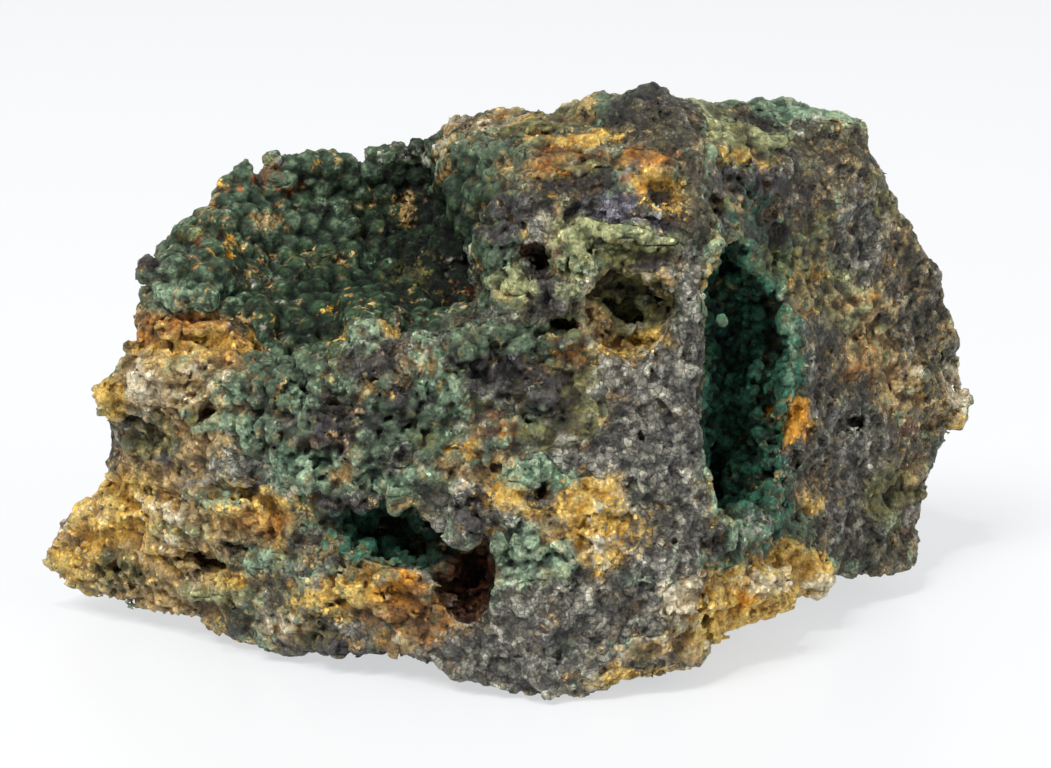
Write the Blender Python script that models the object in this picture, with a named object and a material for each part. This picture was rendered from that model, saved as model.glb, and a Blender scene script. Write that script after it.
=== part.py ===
"""A natural mineral specimen: one broken block of ore, hollowed by vugs that a green crust lines.

It is a single grown piece, so it is a single solid. The outer form is stretched over landmarks, which are
places on the block that can be pointed at, such as the ridge, the rim of the bowl or the tip of the foot.
The vugs are cut out of it, the fracture surface is roughened, and the underside is cleaved flat where the
block rests. Metres, +Z up, +X to the right, +Y away from the front. The origin is under the middle of the
block, on the surface that it stands on.

Run it with: blender --background --python part.py
"""

import math

import bmesh
import bpy
from mathutils import Euler, Vector, geometry

# ---- Driving dimensions -------------------------------------------------------------------------------
SPECIMEN_WIDTH = 0.0905      # the block, from the tip of the foot to the right-hand edge
LANDMARK_WIDTH = 90.5        # the same width in the units that the landmarks are written in
UNIT = SPECIMEN_WIDTH / LANDMARK_WIDTH
FRONT_TILT = math.radians(15)  # the front elevation is seen from this far above the horizon

GRAIN = 0.75 * UNIT          # size of the smallest facet of the broken surface
LUMP_SIZE = 9.0 * UNIT       # spacing of the broad swells of the broken surface
LUMP_HEIGHT = 1.3 * UNIT
LUMP_MIDDLE = 0.5            # the level of the swells' pattern that leaves the surface where it was
CHIP_SIZE = 3.0 * UNIT       # spacing of the chips and pits
CHIP_HEIGHT = 1.2 * UNIT
CHIP_MIDDLE = 0.4            # the level of the chips' pattern that leaves the surface where it was
KEPT_FACETS = 0.125          # share of the facets that the finished solid keeps
BASE_DEPTH = 12.0 * UNIT     # thickness of the slab that the cleavage takes off the underside

# ---- Landmarks, in units of UNIT: (across, back, up) ---------------------------------------------------
ORIGIN = (0.0, 1.8, 0.8)     # the middle of the surface that the block rests on

# The outline as the front elevation shows it, clockwise from the tip of the foot.
FOOT_EDGE = [(-46.0, 3.0, 5.0), (-43.3, 3.0, 10.0), (-38.5, 0.0, 15.0), (-37.0, 2.0, 18.0)]
LOBE_EDGE = [(-38.5, -5.0, 23.5), (-34.0, -4.0, 30.5), (-34.5, 0.0, 33.5)]
BOWL_BACK_EDGE = [
    (-32.5, 4.0, 36.5), (-29.0, 7.0, 38.5), (-26.5, 9.0, 41.5), (-22.0, 12.0, 43.5),
    (-15.5, 13.0, 43.0), (-8.5, 13.0, 45.5), (-0.5, 10.0, 48.0),
]
CREST = [
    (3.5, 5.0, 49.0), (8.0, 2.0, 50.5), (11.5, 0.0, 51.5), (17.0, 6.0, 50.0),
    (26.0, 13.0, 48.5), (33.0, 12.0, 47.3),
]
RIGHT_EDGE = [
    (33.8, 11.0, 45.5), (33.5, 11.0, 44.0), (36.8, 13.0, 38.0), (40.2, 15.0, 33.0),
    (43.0, 17.0, 27.0), (44.2, 20.0, 20.0), (45.5, 18.0, 15.5), (42.5, 17.0, 13.0),
    (40.0, 12.0, 8.0), (39.5, 8.0, 4.0), (38.0, 6.0, 3.3),
]
LOWER_EDGE = [
    (32.5, 2.0, 3.8), (26.5, -6.0, 3.8), (20.5, -13.0, 5.0), (17.5, -17.0, 4.2), (16.0, -19.0, 3.0),
    (11.0, -19.5, 2.8), (7.5, -21.0, 1.4), (2.5, -22.5, 0.2), (-2.0, -21.0, 1.4), (-7.5, -18.0, 2.8),
    (-14.0, -15.0, 3.0), (-20.5, -12.0, 2.0), (-26.5, -8.0, 2.0), (-34.0, -3.0, 3.3), (-42.5, 2.0, 2.8),
]
OUTLINE = FOOT_EDGE + LOBE_EDGE + BOWL_BACK_EDGE + CREST + RIGHT_EDGE + LOWER_EDGE

# Between the outline's points, on the side that faces the front.
BOWL_WALL = [
    (-25.0, 9.0, 39.5), (-20.5, 12.0, 39.5), (-16.0, 13.5, 38.5), (-11.0, 14.5, 40.0),
    (-8.0, 13.5, 42.0), (-26.5, 2.5, 36.0), (-23.5, 5.0, 35.5), (-20.0, 8.0, 35.0),
    (-15.5, 10.0, 34.5), (-11.0, 12.0, 34.5), (-7.0, 13.0, 37.0), (-7.2, 12.0, 44.0),
]
BOWL_FLOOR = [
    (-25.0, -1.5, 32.5), (-21.5, 1.5, 32.5), (-17.0, 3.5, 32.0), (-12.5, 5.5, 32.0),
    (-8.0, 8.0, 32.5), (-6.0, 8.5, 35.0), (-22.5, -7.0, 30.0), (-19.0, -6.5, 29.0),
    (-15.5, -4.5, 29.0), (-10.5, -3.0, 29.5), (-6.5, -1.0, 30.5), (-4.0, -1.0, 32.0),
]
BOWL_BANK = [(-31.5, -3.5, 35.5), (-29.0, -7.5, 33.5), (-27.5, 3.0, 38.5), (-28.5, -0.5, 36.5)]
BOWL_RIM = [
    (-25.0, -9.0, 30.5), (-21.5, -12.0, 27.5), (-18.5, -13.5, 27.0), (-15.5, -13.0, 29.5),
    (-12.5, -13.0, 33.0), (-10.5, -13.5, 31.0), (-8.0, -14.0, 31.0), (-5.0, -13.5, 32.0),
    (-2.5, -13.5, 33.0), (-0.5, -13.5, 33.0),
]
BUTTRESS = [
    (-6.0, 5.0, 46.0), (-5.5, 2.5, 42.5), (-5.0, 0.0, 40.0), (-3.5, -4.0, 38.5), (-2.5, -7.5, 36.0),
    (-1.0, -10.5, 34.5), (0.5, -6.0, 47.0), (4.0, -9.5, 43.0), (9.5, -9.5, 45.0), (1.0, -9.5, 39.5),
    (12.5, -13.0, 35.0), (5.0, -13.0, 35.0), (7.5, -14.5, 29.5),
]
RIDGE = [
    (12.5, -3.0, 51.0), (16.0, -8.0, 47.5), (16.5, -10.0, 42.0), (16.0, -13.0, 35.0),
    (15.5, -15.5, 26.5), (16.0, -17.5, 18.0), (16.5, -19.0, 9.5),
]
SLOT_RIM = [
    (17.3, -8.0, 39.5), (20.3, -5.0, 34.5), (24.0, -2.0, 33.0), (26.0, -3.0, 28.0), (25.8, -4.5, 23.5),
    (24.5, -6.5, 20.0), (23.2, -9.5, 16.0), (21.0, -12.5, 12.5), (17.0, -17.5, 11.5),
]
TOP_LEDGE = [
    (18.5, -1.0, 47.0), (22.5, 7.0, 47.0), (25.5, 9.0, 47.4), (31.5, 10.0, 46.5), (19.5, -1.0, 42.5),
]
RIGHT_FACE = [
    (22.5, 1.0, 44.5), (31.5, 7.0, 40.0), (37.0, 12.0, 29.0), (31.5, 7.0, 29.0), (26.5, 3.0, 35.0),
    (29.5, 4.0, 19.5), (39.5, 13.0, 19.0), (26.5, -3.0, 13.5), (34.5, 7.0, 11.5), (30.5, 0.0, 7.0),
    (22.5, -10.0, 8.5), (37.0, 8.0, 6.0),
]
CRUST_SLOPE = [
    (-16.0, -15.5, 24.0), (-10.0, -16.0, 25.0), (-4.0, -16.0, 26.5), (2.5, -16.0, 26.5),
    (-22.5, -12.5, 23.0), (-11.5, -17.0, 20.0), (-5.5, -17.5, 21.0), (0.5, -18.0, 21.0),
]
LOBE = [(-36.0, -6.5, 29.0), (-37.5, -6.5, 24.5), (-30.0, -9.5, 26.0), (-26.0, -11.0, 21.5)]
NOTCH = [(-36.0, -3.0, 18.5), (-36.0, -2.0, 12.5), (-28.5, -9.0, 17.0), (-20.0, -13.5, 17.5)]
FOOT = [(-40.0, 0.0, 12.5), (-34.0, -4.5, 8.0), (-43.5, 1.5, 6.0), (-26.0, -9.0, 6.0), (-19.5, -13.0, 7.0)]
FRONT_FACE = [
    (8.5, -17.0, 22.5), (-5.5, -18.5, 14.0), (3.0, -20.0, 14.0), (11.0, -19.5, 13.5),
    (-7.5, -18.5, 7.5), (2.5, -22.0, 5.0), (11.0, -20.5, 7.0), (-13.0, -16.5, 10.0),
]
FRONT = (BOWL_WALL + BOWL_FLOOR + BOWL_BANK + BOWL_RIM + BUTTRESS + RIDGE + SLOT_RIM + TOP_LEDGE
         + RIGHT_FACE + CRUST_SLOPE + LOBE + NOTCH + FOOT + FRONT_FACE)

# Between the outline's points, on the far side and underneath.
BACK_SHOULDER = [
    (-36.0, 9.0, 31.0), (-29.0, 15.0, 33.0), (-18.0, 20.0, 37.0), (-5.0, 21.0, 40.0),
    (9.0, 19.0, 44.0), (24.0, 21.0, 42.0), (34.0, 20.0, 38.0),
]
BACK_FACE = [
    (-39.0, 10.0, 20.0), (-31.0, 17.0, 19.0), (-20.0, 23.0, 23.0), (-7.0, 22.0, 27.0),
    (4.0, 26.0, 25.0), (17.0, 24.0, 30.0), (29.0, 26.0, 27.0), (38.0, 24.0, 24.0),
    (-26.0, 19.0, 9.0), (-9.0, 23.0, 10.0), (8.0, 25.0, 9.0), (24.0, 23.0, 11.0), (37.0, 21.0, 11.0),
    (37.0, 18.0, 4.5),
]
UNDERSIDE = [
    (-38.0, 8.0, 6.0), (-25.0, 6.0, 0.5), (-17.0, -8.0, -1.5), (-18.0, 10.0, -1.5), (-6.0, 17.0, -1.5),
    (11.0, 18.0, -1.5), (27.0, 13.0, -1.5), (26.0, 2.0, -1.5), (16.0, -9.0, -1.5), (8.0, -15.0, -1.5),
    (2.5, -17.5, -1.5), (-6.0, -14.0, -1.5),
]
BACK = BACK_SHOULDER + BACK_FACE + UNDERSIDE

# ---- Vugs, in units of UNIT: (middle, half sizes, turn in degrees about X, Y and Z) ---------------------
BOWL = [((-3.0, 3.5, 35.3), (7.0, 4.7, 8.5), (-50, 0, 0))]
SLOT = [
    ((18.3, -4.0, 35.0), (2.4, 6.5, 4.5), (14, 6, 0)),
    ((20.2, -3.5, 28.0), (4.7, 8.5, 6.8), (8, 0, 0)),
    ((19.6, -7.5, 20.0), (4.2, 9.5, 7.5), (8, 0, 0)),
]
POCKET = [
    ((-10.3, -14.5, 14.6), (6.2, 6.5, 3.2), (0, 18, 0)),
    ((-4.0, -16.5, 11.0), (3.0, 5.5, 4.8), (0, 0, 0)),
]
NICHE = [((10.3, -12.5, 34.0), (3.9, 5.5, 4.6), (0, 0, 0))]
VUGS = {"bowl": BOWL, "slot": SLOT, "pocket": POCKET, "niche": NICHE}

STONE_COLOUR = (0.16, 0.15, 0.12, 1.0)
STONE_ROUGHNESS = 0.85


def clear_scene():
    """Remove every object that the scene starts with."""
    for obj in list(bpy.data.objects):
        bpy.data.objects.remove(obj, do_unlink=True)


def link(name, bm):
    """Turn a bmesh into a named mesh object of the scene."""
    mesh = bpy.data.meshes.new(name)
    bm.to_mesh(mesh)
    bm.free()
    obj = bpy.data.objects.new(name, mesh)
    bpy.context.scene.collection.objects.link(obj)
    return obj


def place(mark):
    """Where a landmark lies, in metres from the origin."""
    return (Vector(mark) - Vector(ORIGIN)) * UNIT


def on_elevation(point):
    """Where a point lies on the front elevation: across, and up as seen from FRONT_TILT."""
    across, back, up = point
    return Vector((across, up * math.cos(FRONT_TILT) + back * math.sin(FRONT_TILT)))


def add_side(bm, outline, marks, flip):
    """Stretch triangles over one side of the block, between the shared outline and that side's marks."""
    corners = outline + [bm.verts.new(place(mark)) for mark in marks]
    flat = [on_elevation(corner.co / UNIT) for corner in corners]
    edges = [(i, (i + 1) % len(outline)) for i in range(len(outline))]
    _, _, faces, origins, _, _ = geometry.delaunay_2d_cdt(flat, edges, [], 1, 1e-6)
    for face in faces:
        triangle = [corners[origins[i][0]] for i in face]
        bm.faces.new(reversed(triangle) if flip else triangle)


def block_envelope():
    """The block before its vugs are cut: a front and a back side that meet along the outline."""
    bm = bmesh.new()
    outline = [bm.verts.new(place(mark)) for mark in OUTLINE]
    add_side(bm, outline, FRONT, flip=False)
    add_side(bm, outline, BACK, flip=True)
    bmesh.ops.recalc_face_normals(bm, faces=bm.faces)
    return link("specimen", bm)


def vug_cutter(name, hollows):
    """One hidden cutter for a vug, made of overlapping egg-shaped hollows."""
    bm = bmesh.new()
    for middle, half_sizes, turn in hollows:
        made = bmesh.ops.create_icosphere(bm, subdivisions=3, radius=1.0)["verts"]
        bmesh.ops.scale(bm, vec=Vector(half_sizes) * UNIT, verts=made)
        turned = Euler([math.radians(angle) for angle in turn]).to_matrix()
        bmesh.ops.rotate(bm, cent=(0, 0, 0), matrix=turned, verts=made)
        bmesh.ops.translate(bm, vec=place(middle), verts=made)
    return hide(link(name + "_cutter", bm))


def cleavage_cutter():
    """A hidden slab whose top is the plane that the block rests on."""
    bm = bmesh.new()
    made = bmesh.ops.create_cube(bm, size=1.0)["verts"]
    bmesh.ops.scale(bm, vec=(2 * SPECIMEN_WIDTH, 2 * SPECIMEN_WIDTH, BASE_DEPTH), verts=made)
    bmesh.ops.translate(bm, vec=(0, 0, -BASE_DEPTH / 2), verts=made)
    return hide(link("cleavage_cutter", bm))


def hide(cutter):
    """Keep a cutter out of the finished part."""
    cutter.hide_render = True
    cutter.display_type = "WIRE"
    return cutter


def cut(obj, cutter, name, overlapping=False):
    """Take a cutter's shape out of the object. The cutter's own parts may be overlapping."""
    modifier = obj.modifiers.new(name, "BOOLEAN")
    modifier.operation = "DIFFERENCE"
    modifier.solver = "EXACT"
    modifier.use_self = overlapping
    modifier.object = cutter


def regrain(obj, name):
    """Knit the surface again from facets of an even size, wherever it runs through itself as well."""
    modifier = obj.modifiers.new(name, "REMESH")
    modifier.mode = "VOXEL"
    modifier.voxel_size = GRAIN


def roughen(obj, name, texture_type, size, height, middle):
    """Push the surface in and out along its normals, by a pattern of that spacing and height."""
    texture = bpy.data.textures.new(name, texture_type)
    texture.noise_scale = size
    modifier = obj.modifiers.new(name, "DISPLACE")
    modifier.texture = texture
    modifier.texture_coords = "LOCAL"
    modifier.strength = height
    modifier.mid_level = middle


def thin_facets(obj):
    """Merge the small facets wherever the surface is nearly flat."""
    modifier = obj.modifiers.new("facets", "DECIMATE")
    modifier.decimate_type = "COLLAPSE"
    modifier.ratio = KEPT_FACETS
    modifier.use_collapse_triangulate = True


def stone_material():
    """Dull grey-brown ore."""
    material = bpy.data.materials.new("stone")
    material.use_nodes = True
    shader = material.node_tree.nodes["Principled BSDF"]
    shader.inputs["Base Color"].default_value = STONE_COLOUR
    shader.inputs["Roughness"].default_value = STONE_ROUGHNESS
    shader.inputs["Metallic"].default_value = 0.0
    return material


def main():
    clear_scene()
    specimen = block_envelope()
    for name, hollows in VUGS.items():
        cut(specimen, vug_cutter(name, hollows), name, overlapping=True)
    regrain(specimen, "even_grain")
    roughen(specimen, "lumps", "CLOUDS", LUMP_SIZE, LUMP_HEIGHT, LUMP_MIDDLE)
    roughen(specimen, "chips", "VORONOI", CHIP_SIZE, CHIP_HEIGHT, CHIP_MIDDLE)
    regrain(specimen, "healed_grain")
    thin_facets(specimen)
    cut(specimen, cleavage_cutter(), "cleavage")
    specimen.data.materials.append(stone_material())


main()
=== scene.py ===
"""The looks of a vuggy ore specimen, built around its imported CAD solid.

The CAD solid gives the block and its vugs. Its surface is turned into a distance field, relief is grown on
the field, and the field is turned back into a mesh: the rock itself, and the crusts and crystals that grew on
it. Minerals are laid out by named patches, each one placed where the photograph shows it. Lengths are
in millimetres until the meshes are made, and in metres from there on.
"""
import math
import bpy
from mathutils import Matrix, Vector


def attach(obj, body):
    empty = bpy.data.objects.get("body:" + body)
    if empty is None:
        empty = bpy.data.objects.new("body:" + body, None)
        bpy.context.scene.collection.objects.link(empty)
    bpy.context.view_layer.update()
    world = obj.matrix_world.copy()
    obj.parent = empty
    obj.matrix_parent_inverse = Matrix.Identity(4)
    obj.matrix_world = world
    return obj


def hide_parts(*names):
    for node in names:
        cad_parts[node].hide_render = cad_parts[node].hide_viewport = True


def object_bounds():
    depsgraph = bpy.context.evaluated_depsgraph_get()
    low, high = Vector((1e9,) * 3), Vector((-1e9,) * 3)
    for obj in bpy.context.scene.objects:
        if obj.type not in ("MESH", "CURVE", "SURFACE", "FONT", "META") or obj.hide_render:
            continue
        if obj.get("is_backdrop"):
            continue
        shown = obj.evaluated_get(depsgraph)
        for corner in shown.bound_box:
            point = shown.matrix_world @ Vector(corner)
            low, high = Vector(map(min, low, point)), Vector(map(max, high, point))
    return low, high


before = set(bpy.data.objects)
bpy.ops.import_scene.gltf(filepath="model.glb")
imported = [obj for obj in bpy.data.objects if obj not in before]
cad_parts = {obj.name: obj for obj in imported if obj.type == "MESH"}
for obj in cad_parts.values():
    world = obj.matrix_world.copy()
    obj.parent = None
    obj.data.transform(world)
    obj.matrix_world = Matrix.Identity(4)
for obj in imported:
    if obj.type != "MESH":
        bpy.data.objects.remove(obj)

from concurrent.futures import ThreadPoolExecutor
from itertools import product

import bpy
import numpy as np
import openvdb as vdb
from mathutils import Vector
from mathutils.bvhtree import BVHTree

# ---- The view of the photograph ----------------------------------------------------------------------
PHOTO_WIDTH, PHOTO_HEIGHT = 1051, 768
VIEW_ELEVATION = math.radians(15)
VIEW_DISTANCE = 270.0
VIEW_AIM = np.array([1.0, -1.8, 23.1])
LENS, SENSOR = 100.0, 36.0
FOCAL_PIXELS = LENS / SENSOR * PHOTO_WIDTH
SIGHT = np.array([0.0, math.cos(VIEW_ELEVATION), -math.sin(VIEW_ELEVATION)])
VIEW_RIGHT = np.array([1.0, 0.0, 0.0])
VIEW_UP = np.array([0.0, math.sin(VIEW_ELEVATION), math.cos(VIEW_ELEVATION)])
EYE = VIEW_AIM - VIEW_DISTANCE * SIGHT

MM = 0.001

# ---- Grids and meshes, in millimetres ------------------------------------------------------------------
COARSE = 0.4      # grid step of the rock's field
FINE = 0.20      # grid step of the crusts' fields
MAP_STEP = 0.9                           # grid step of the map of the kinds of mineral
MARGIN = 3.0                             # room round the block in the fields and the map
BAND = 2.6                               # how far from the surface the fields are kept
SLICE = 60000                            # points that one thread works on at a time
MOST_TRIANGLES = 194000
CRUMB = 150                              # a loose bit with fewer corners than this is left out
FACETED = ("quartz", "ore")              # the pieces whose small faces are flat and crisp

# ---- Depths of the crusts and heights of the relief, in millimetres --------------------------------------
SKIN = 0.7                               # depth to which a crust is rooted in the rock
SINK = 1.5                               # how far a crust drops where another mineral shows
ROCK_SINK = 0.45                         # how far the rock drops under its fine dressing
BURIED = 0.62                            # this far below the surface, the rock hides a crust
FRINGE = 0.25                            # how much further round the larger relief goes than the dressing
MOST_OUT = 0.85                          # the larger relief stands out no further than this
MOST_SMALL_OUT = 0.50                    # nor does the small relief stand out further than this
BALL_TRIES = 60000                       # places tried for balls of crust
BALL_CELL = 1.6                          # size of the cells in which balls look for their neighbours
BALL_SPACING = 0.58                      # least gap between two balls, in sums of their radii
BALL_ROOT = 0.30                         # how deep a ball is rooted, in radii
BALL_FILLET = 0.15                       # fillet round the foot of a ball
BALL_BIAS = 1.6                          # how strongly the sizes of the balls lean to the small
BALL_SEED = 88
BLOB_BENDS = ((1.0, 1.9, 7), (0.4, 0.8, 17))      # share, size and seed of what makes lumps and holes uneven
LUMP_ROUGHNESS, LUMP_FILLET = 0.35, 0.5
LUMP_LEAST_DEPTH = 1.2                   # half size of a lump along the line of sight, at the least
HOLE_ROUGHNESS = 0.45
TIP_FILLET = 0.3                         # fillet round the foot of a tip
REACHES = {"large": 1.5, "rock": 1.0, "small": 0.85}      # how far from the surface each relief is worked out
ZONE_EDGE = (0.85, 1.0)                  # where a zone fades out, as squares of distances in half sizes
DRESSED_EDGE = (-0.30, -0.12)            # where the dressing ends, as cosines of the angle to the eye
OWN_EDGE = (-0.22, -0.02)                # where a kind of mineral ends, as its lead over the others
OWN_BENDS = (0.12, 1.1, 70)              # how far, over what size and from what seed that edge bends
BOWL_EDGE = (0.1, 0.5)                   # where the crust in the bowl and the crust outside it end
LEAST_SHARE, LEAST_COVER = 0.06, 0.01    # smaller shares of a kind, or of dressing, count as none

# ---- Grains of the relief: size in millimetres, and seed -------------------------------------------------
GRAINS = {
    "nodules": (2.7, 33),
    "blocks": (2.3, 23),
    "fracture": (3.4, 13),
    "knobs": (0.80, 31),
    "small_knobs": (0.42, 32),
    "sugar": (1.05, 21),
    "fine_sugar": (0.5, 22),
    "cleavage": (1.25, 11),
    "fine_cleavage": (0.6, 12),
}
# How strongly each sort of grain stands out, and how deep the clefts, cracks, pores and pits are, in
# millimetres.
HEIGHTS = {
    "nodules": 1.5, "nodule_clefts": 0.45,
    "beds": 0.40, "blocks": 0.45, "block_clefts": 0.30,
    "fracture": 0.35, "fracture_steps": 0.2,
    "knobs": 0.40, "knob_facets": 0.24, "small_knobs": 0.14, "small_knob_facets": 0.10,
    "sugar": 0.25, "sugar_facets": 0.30, "pores": 0.6, "fine_sugar": 0.10, "fine_sugar_facets": 0.12,
    "cleavage": 0.28, "cleavage_steps": 0.20, "cracks": 0.14, "pits": 0.5,
    "fine_cleavage": 0.11, "fine_cleavage_steps": 0.11,
}

# ---- Minerals: darker tone, lighter tone, roughness --------------------------------------------------
MINERALS = {
    "green": ("#121c15", "#677c62", 0.55),
    "pine": ("#08100b", "#3a5237", 0.60),
    "teal": ("#0b2019", "#3f7e64", 0.60),
    # painted shade, not a mineral: the very dark green laid where the bowl's recess under the buttress lies
    # in shade
    "painted_shade_green": ("#030504", "#1b2418", 0.70),
    "mint": ("#2a4435", "#a9c2a0", 0.55),
    "sage": ("#3a4228", "#bcc08c", 0.50),
    "olive": ("#1f1e0d", "#858248", 0.50),
    "galena": ("#2c2b28", "#c6c4b4", 0.30),
    "dusk": ("#0a0a0a", "#565152", 0.40),
    "ochre": ("#a6731a", "#fad574", 0.42),
    "amber": ("#55300c", "#c98a36", 0.42),
    "orange": ("#d0800c", "#ffb430", 0.45),
    "rust": ("#2a140a", "#8c5230", 0.55),
    "tan": ("#664d28", "#e0bf82", 0.50),
    "cream": ("#a89068", "#fbf0d0", 0.34),
    "slate": ("#1d1a10", "#857a56", 0.46),
    "umber": ("#080604", "#2e2618", 0.60),
    "violet": ("#2c2a32", "#a19fac", 0.22),
}
NAMES = list(MINERALS)

# ---- Surfaces: strength of the specks, blocks, facets, cracks, grit and gloss ----------------------------
SURFACES = {
    "rock": (0.42, 0.26, 0.70, 0.50, 0.9, 0.50),
    "velvet": (0.30, 0.06, 0.25, 0.00, 0.6, 0.20),
    "crust": (0.38, 0.12, 0.60, 0.25, 0.9, 0.45),
    "quartz": (0.32, 0.16, 0.70, 0.30, 0.9, 0.60),
    "ore": (0.44, 0.56, 0.80, 0.85, 0.9, 0.70),
}
# The surface and the slot of each piece.
LOOKS = {
    "rock": ("rock", "stone"),
    "bowl_crust": ("velvet", "green_crust"),
    "green_crust": ("crust", "green_crust"),
    "quartz": ("quartz", "stone"),
    "ore": ("ore", "stone"),
}
# The minerals of each kind, and the kinds' columns where the shares of all three are side by side.
KINDS = {
    "crust": ("green", "pine", "teal", "painted_shade_green", "mint", "sage", "dusk"),
    "quartz": ("ochre", "amber", "orange", "tan", "cream", "olive", "rust"),
    "ore": ("galena", "slate", "umber", "violet"),
}
CRUST, QUARTZ, ORE = range(len(KINDS))

# ---- Grain of the surfaces -------------------------------------------------------------------------------
CRYSTALS_PER_MM = 3.4
BLOCKS_PER_MM = 1.3
BLOTCHES_PER_MM = 1.5                    # blotches in which one of the two painted colours shows more
SPECKS_PER_MM = 4.2
KNOBS_PER_MM, GRIT_PER_MM = 2.4, 4.0     # round and rough grains in the grit
GRIT_DEPTH = 0.5                         # height of the grit, in millimetres
PICK_EDGE = (0.70, 0.73)                 # how crisply the two painted colours meet
FLECK_EDGE = (0.93, 0.94)                # the crystals with a lot above this are flecks
FLECK_SHADE = 1.7                        # how much lighter a fleck is
CRACK_WIDTH = 0.07                       # in blocks
POLISH = (0.45, 1.4)                     # factor of the roughness of the glossiest and of the dullest crystal

# ---- How patches become grains of mineral -----------------------------------------------------------------
PATCH_DEPTH = 5.0                        # how far a patch reaches along the line of sight, in millimetres
PATCH_GRIPS = {"tint": 2.9, "tint_two": 1.6}      # how strictly the grains of each colour keep to their patch
PATCH_BENDS = ((0.9, 2.6, 1), (0.5, 0.9, 4))      # how far, over what size and from what seed its edges bend
PATCH_REACH = 2.1                        # where a patch ends, in half sizes
PATCH_FALL = 0.7                         # how fast a patch's claim falls off before that
LEAST_SCORE = 0.02                       # the claim that any mineral has anywhere
CLOUD_SIZE, CLOUD_SEED = 3.0, 100        # the clouds in which the common minerals come
CLOUD_EDGE = (-0.1, 0.5)                 # where a cloud fades out
KIND_CONTRAST = 2.5                      # how sharply one kind of mineral gives way to the next
CRUST_ON_TOP = 1.2                       # how much the crust prefers what stands out
ORE_WEAR_AND_SHADE = 0.55                          # how much of the lightening of bumps and darkening of hollows, partly wear and partly painted light and shade, the ore takes
ORE_FLATNESS = 0.75                      # how much of the round bumps the ore does without
HOLLOW_SHADE = 0.35                      # painted shade: how much darker the colour is at the bottom of a hollow
HOLLOW_DEPTHS = (0.02, 0.30)             # depths at which that begins and is complete
COARSE_GRAIN = (1.35, 51)                # size and seed of the coarser grains that pick their mineral by lot
FINE_GRAIN = (0.55, 52)                  # size and seed of the finer ones
GRAIN_BENDS = (0.25, 0.6, 54)            # how far, over what size and from what seed the coarser ones bend
COARSE_WEIGHT, FINE_WEIGHT = 0.65, 0.55  # how much the lots of each set count
MIDDLE_TONE = 0.52                       # a plain corner's place between the darker and the lighter tone
COARSE_TONES, FINE_TONES = 0.34, 0.60    # how much the tone varies from grain to grain in each set
CLOUD_TONES = (0.15, 0.45, 61)           # how much, over what size and from what seed it varies within them
BROAD_TONES, CRISP_TONES = 0.8, 2.2      # how much lighter it is for each millimetre that a corner stands out, and darker where it sinks in: partly wear, partly painted light and shade
GLOSS_VARIES = 0.25                      # how much the roughness varies from grain to grain
SMOOTHINGS = ((3, 0.12), (14, 0.4))      # rounds of smoothing, and the most that a corner then stands out
GLOSS_RANGE = (0.12, 0.9)                # the least and the greatest roughness

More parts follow.
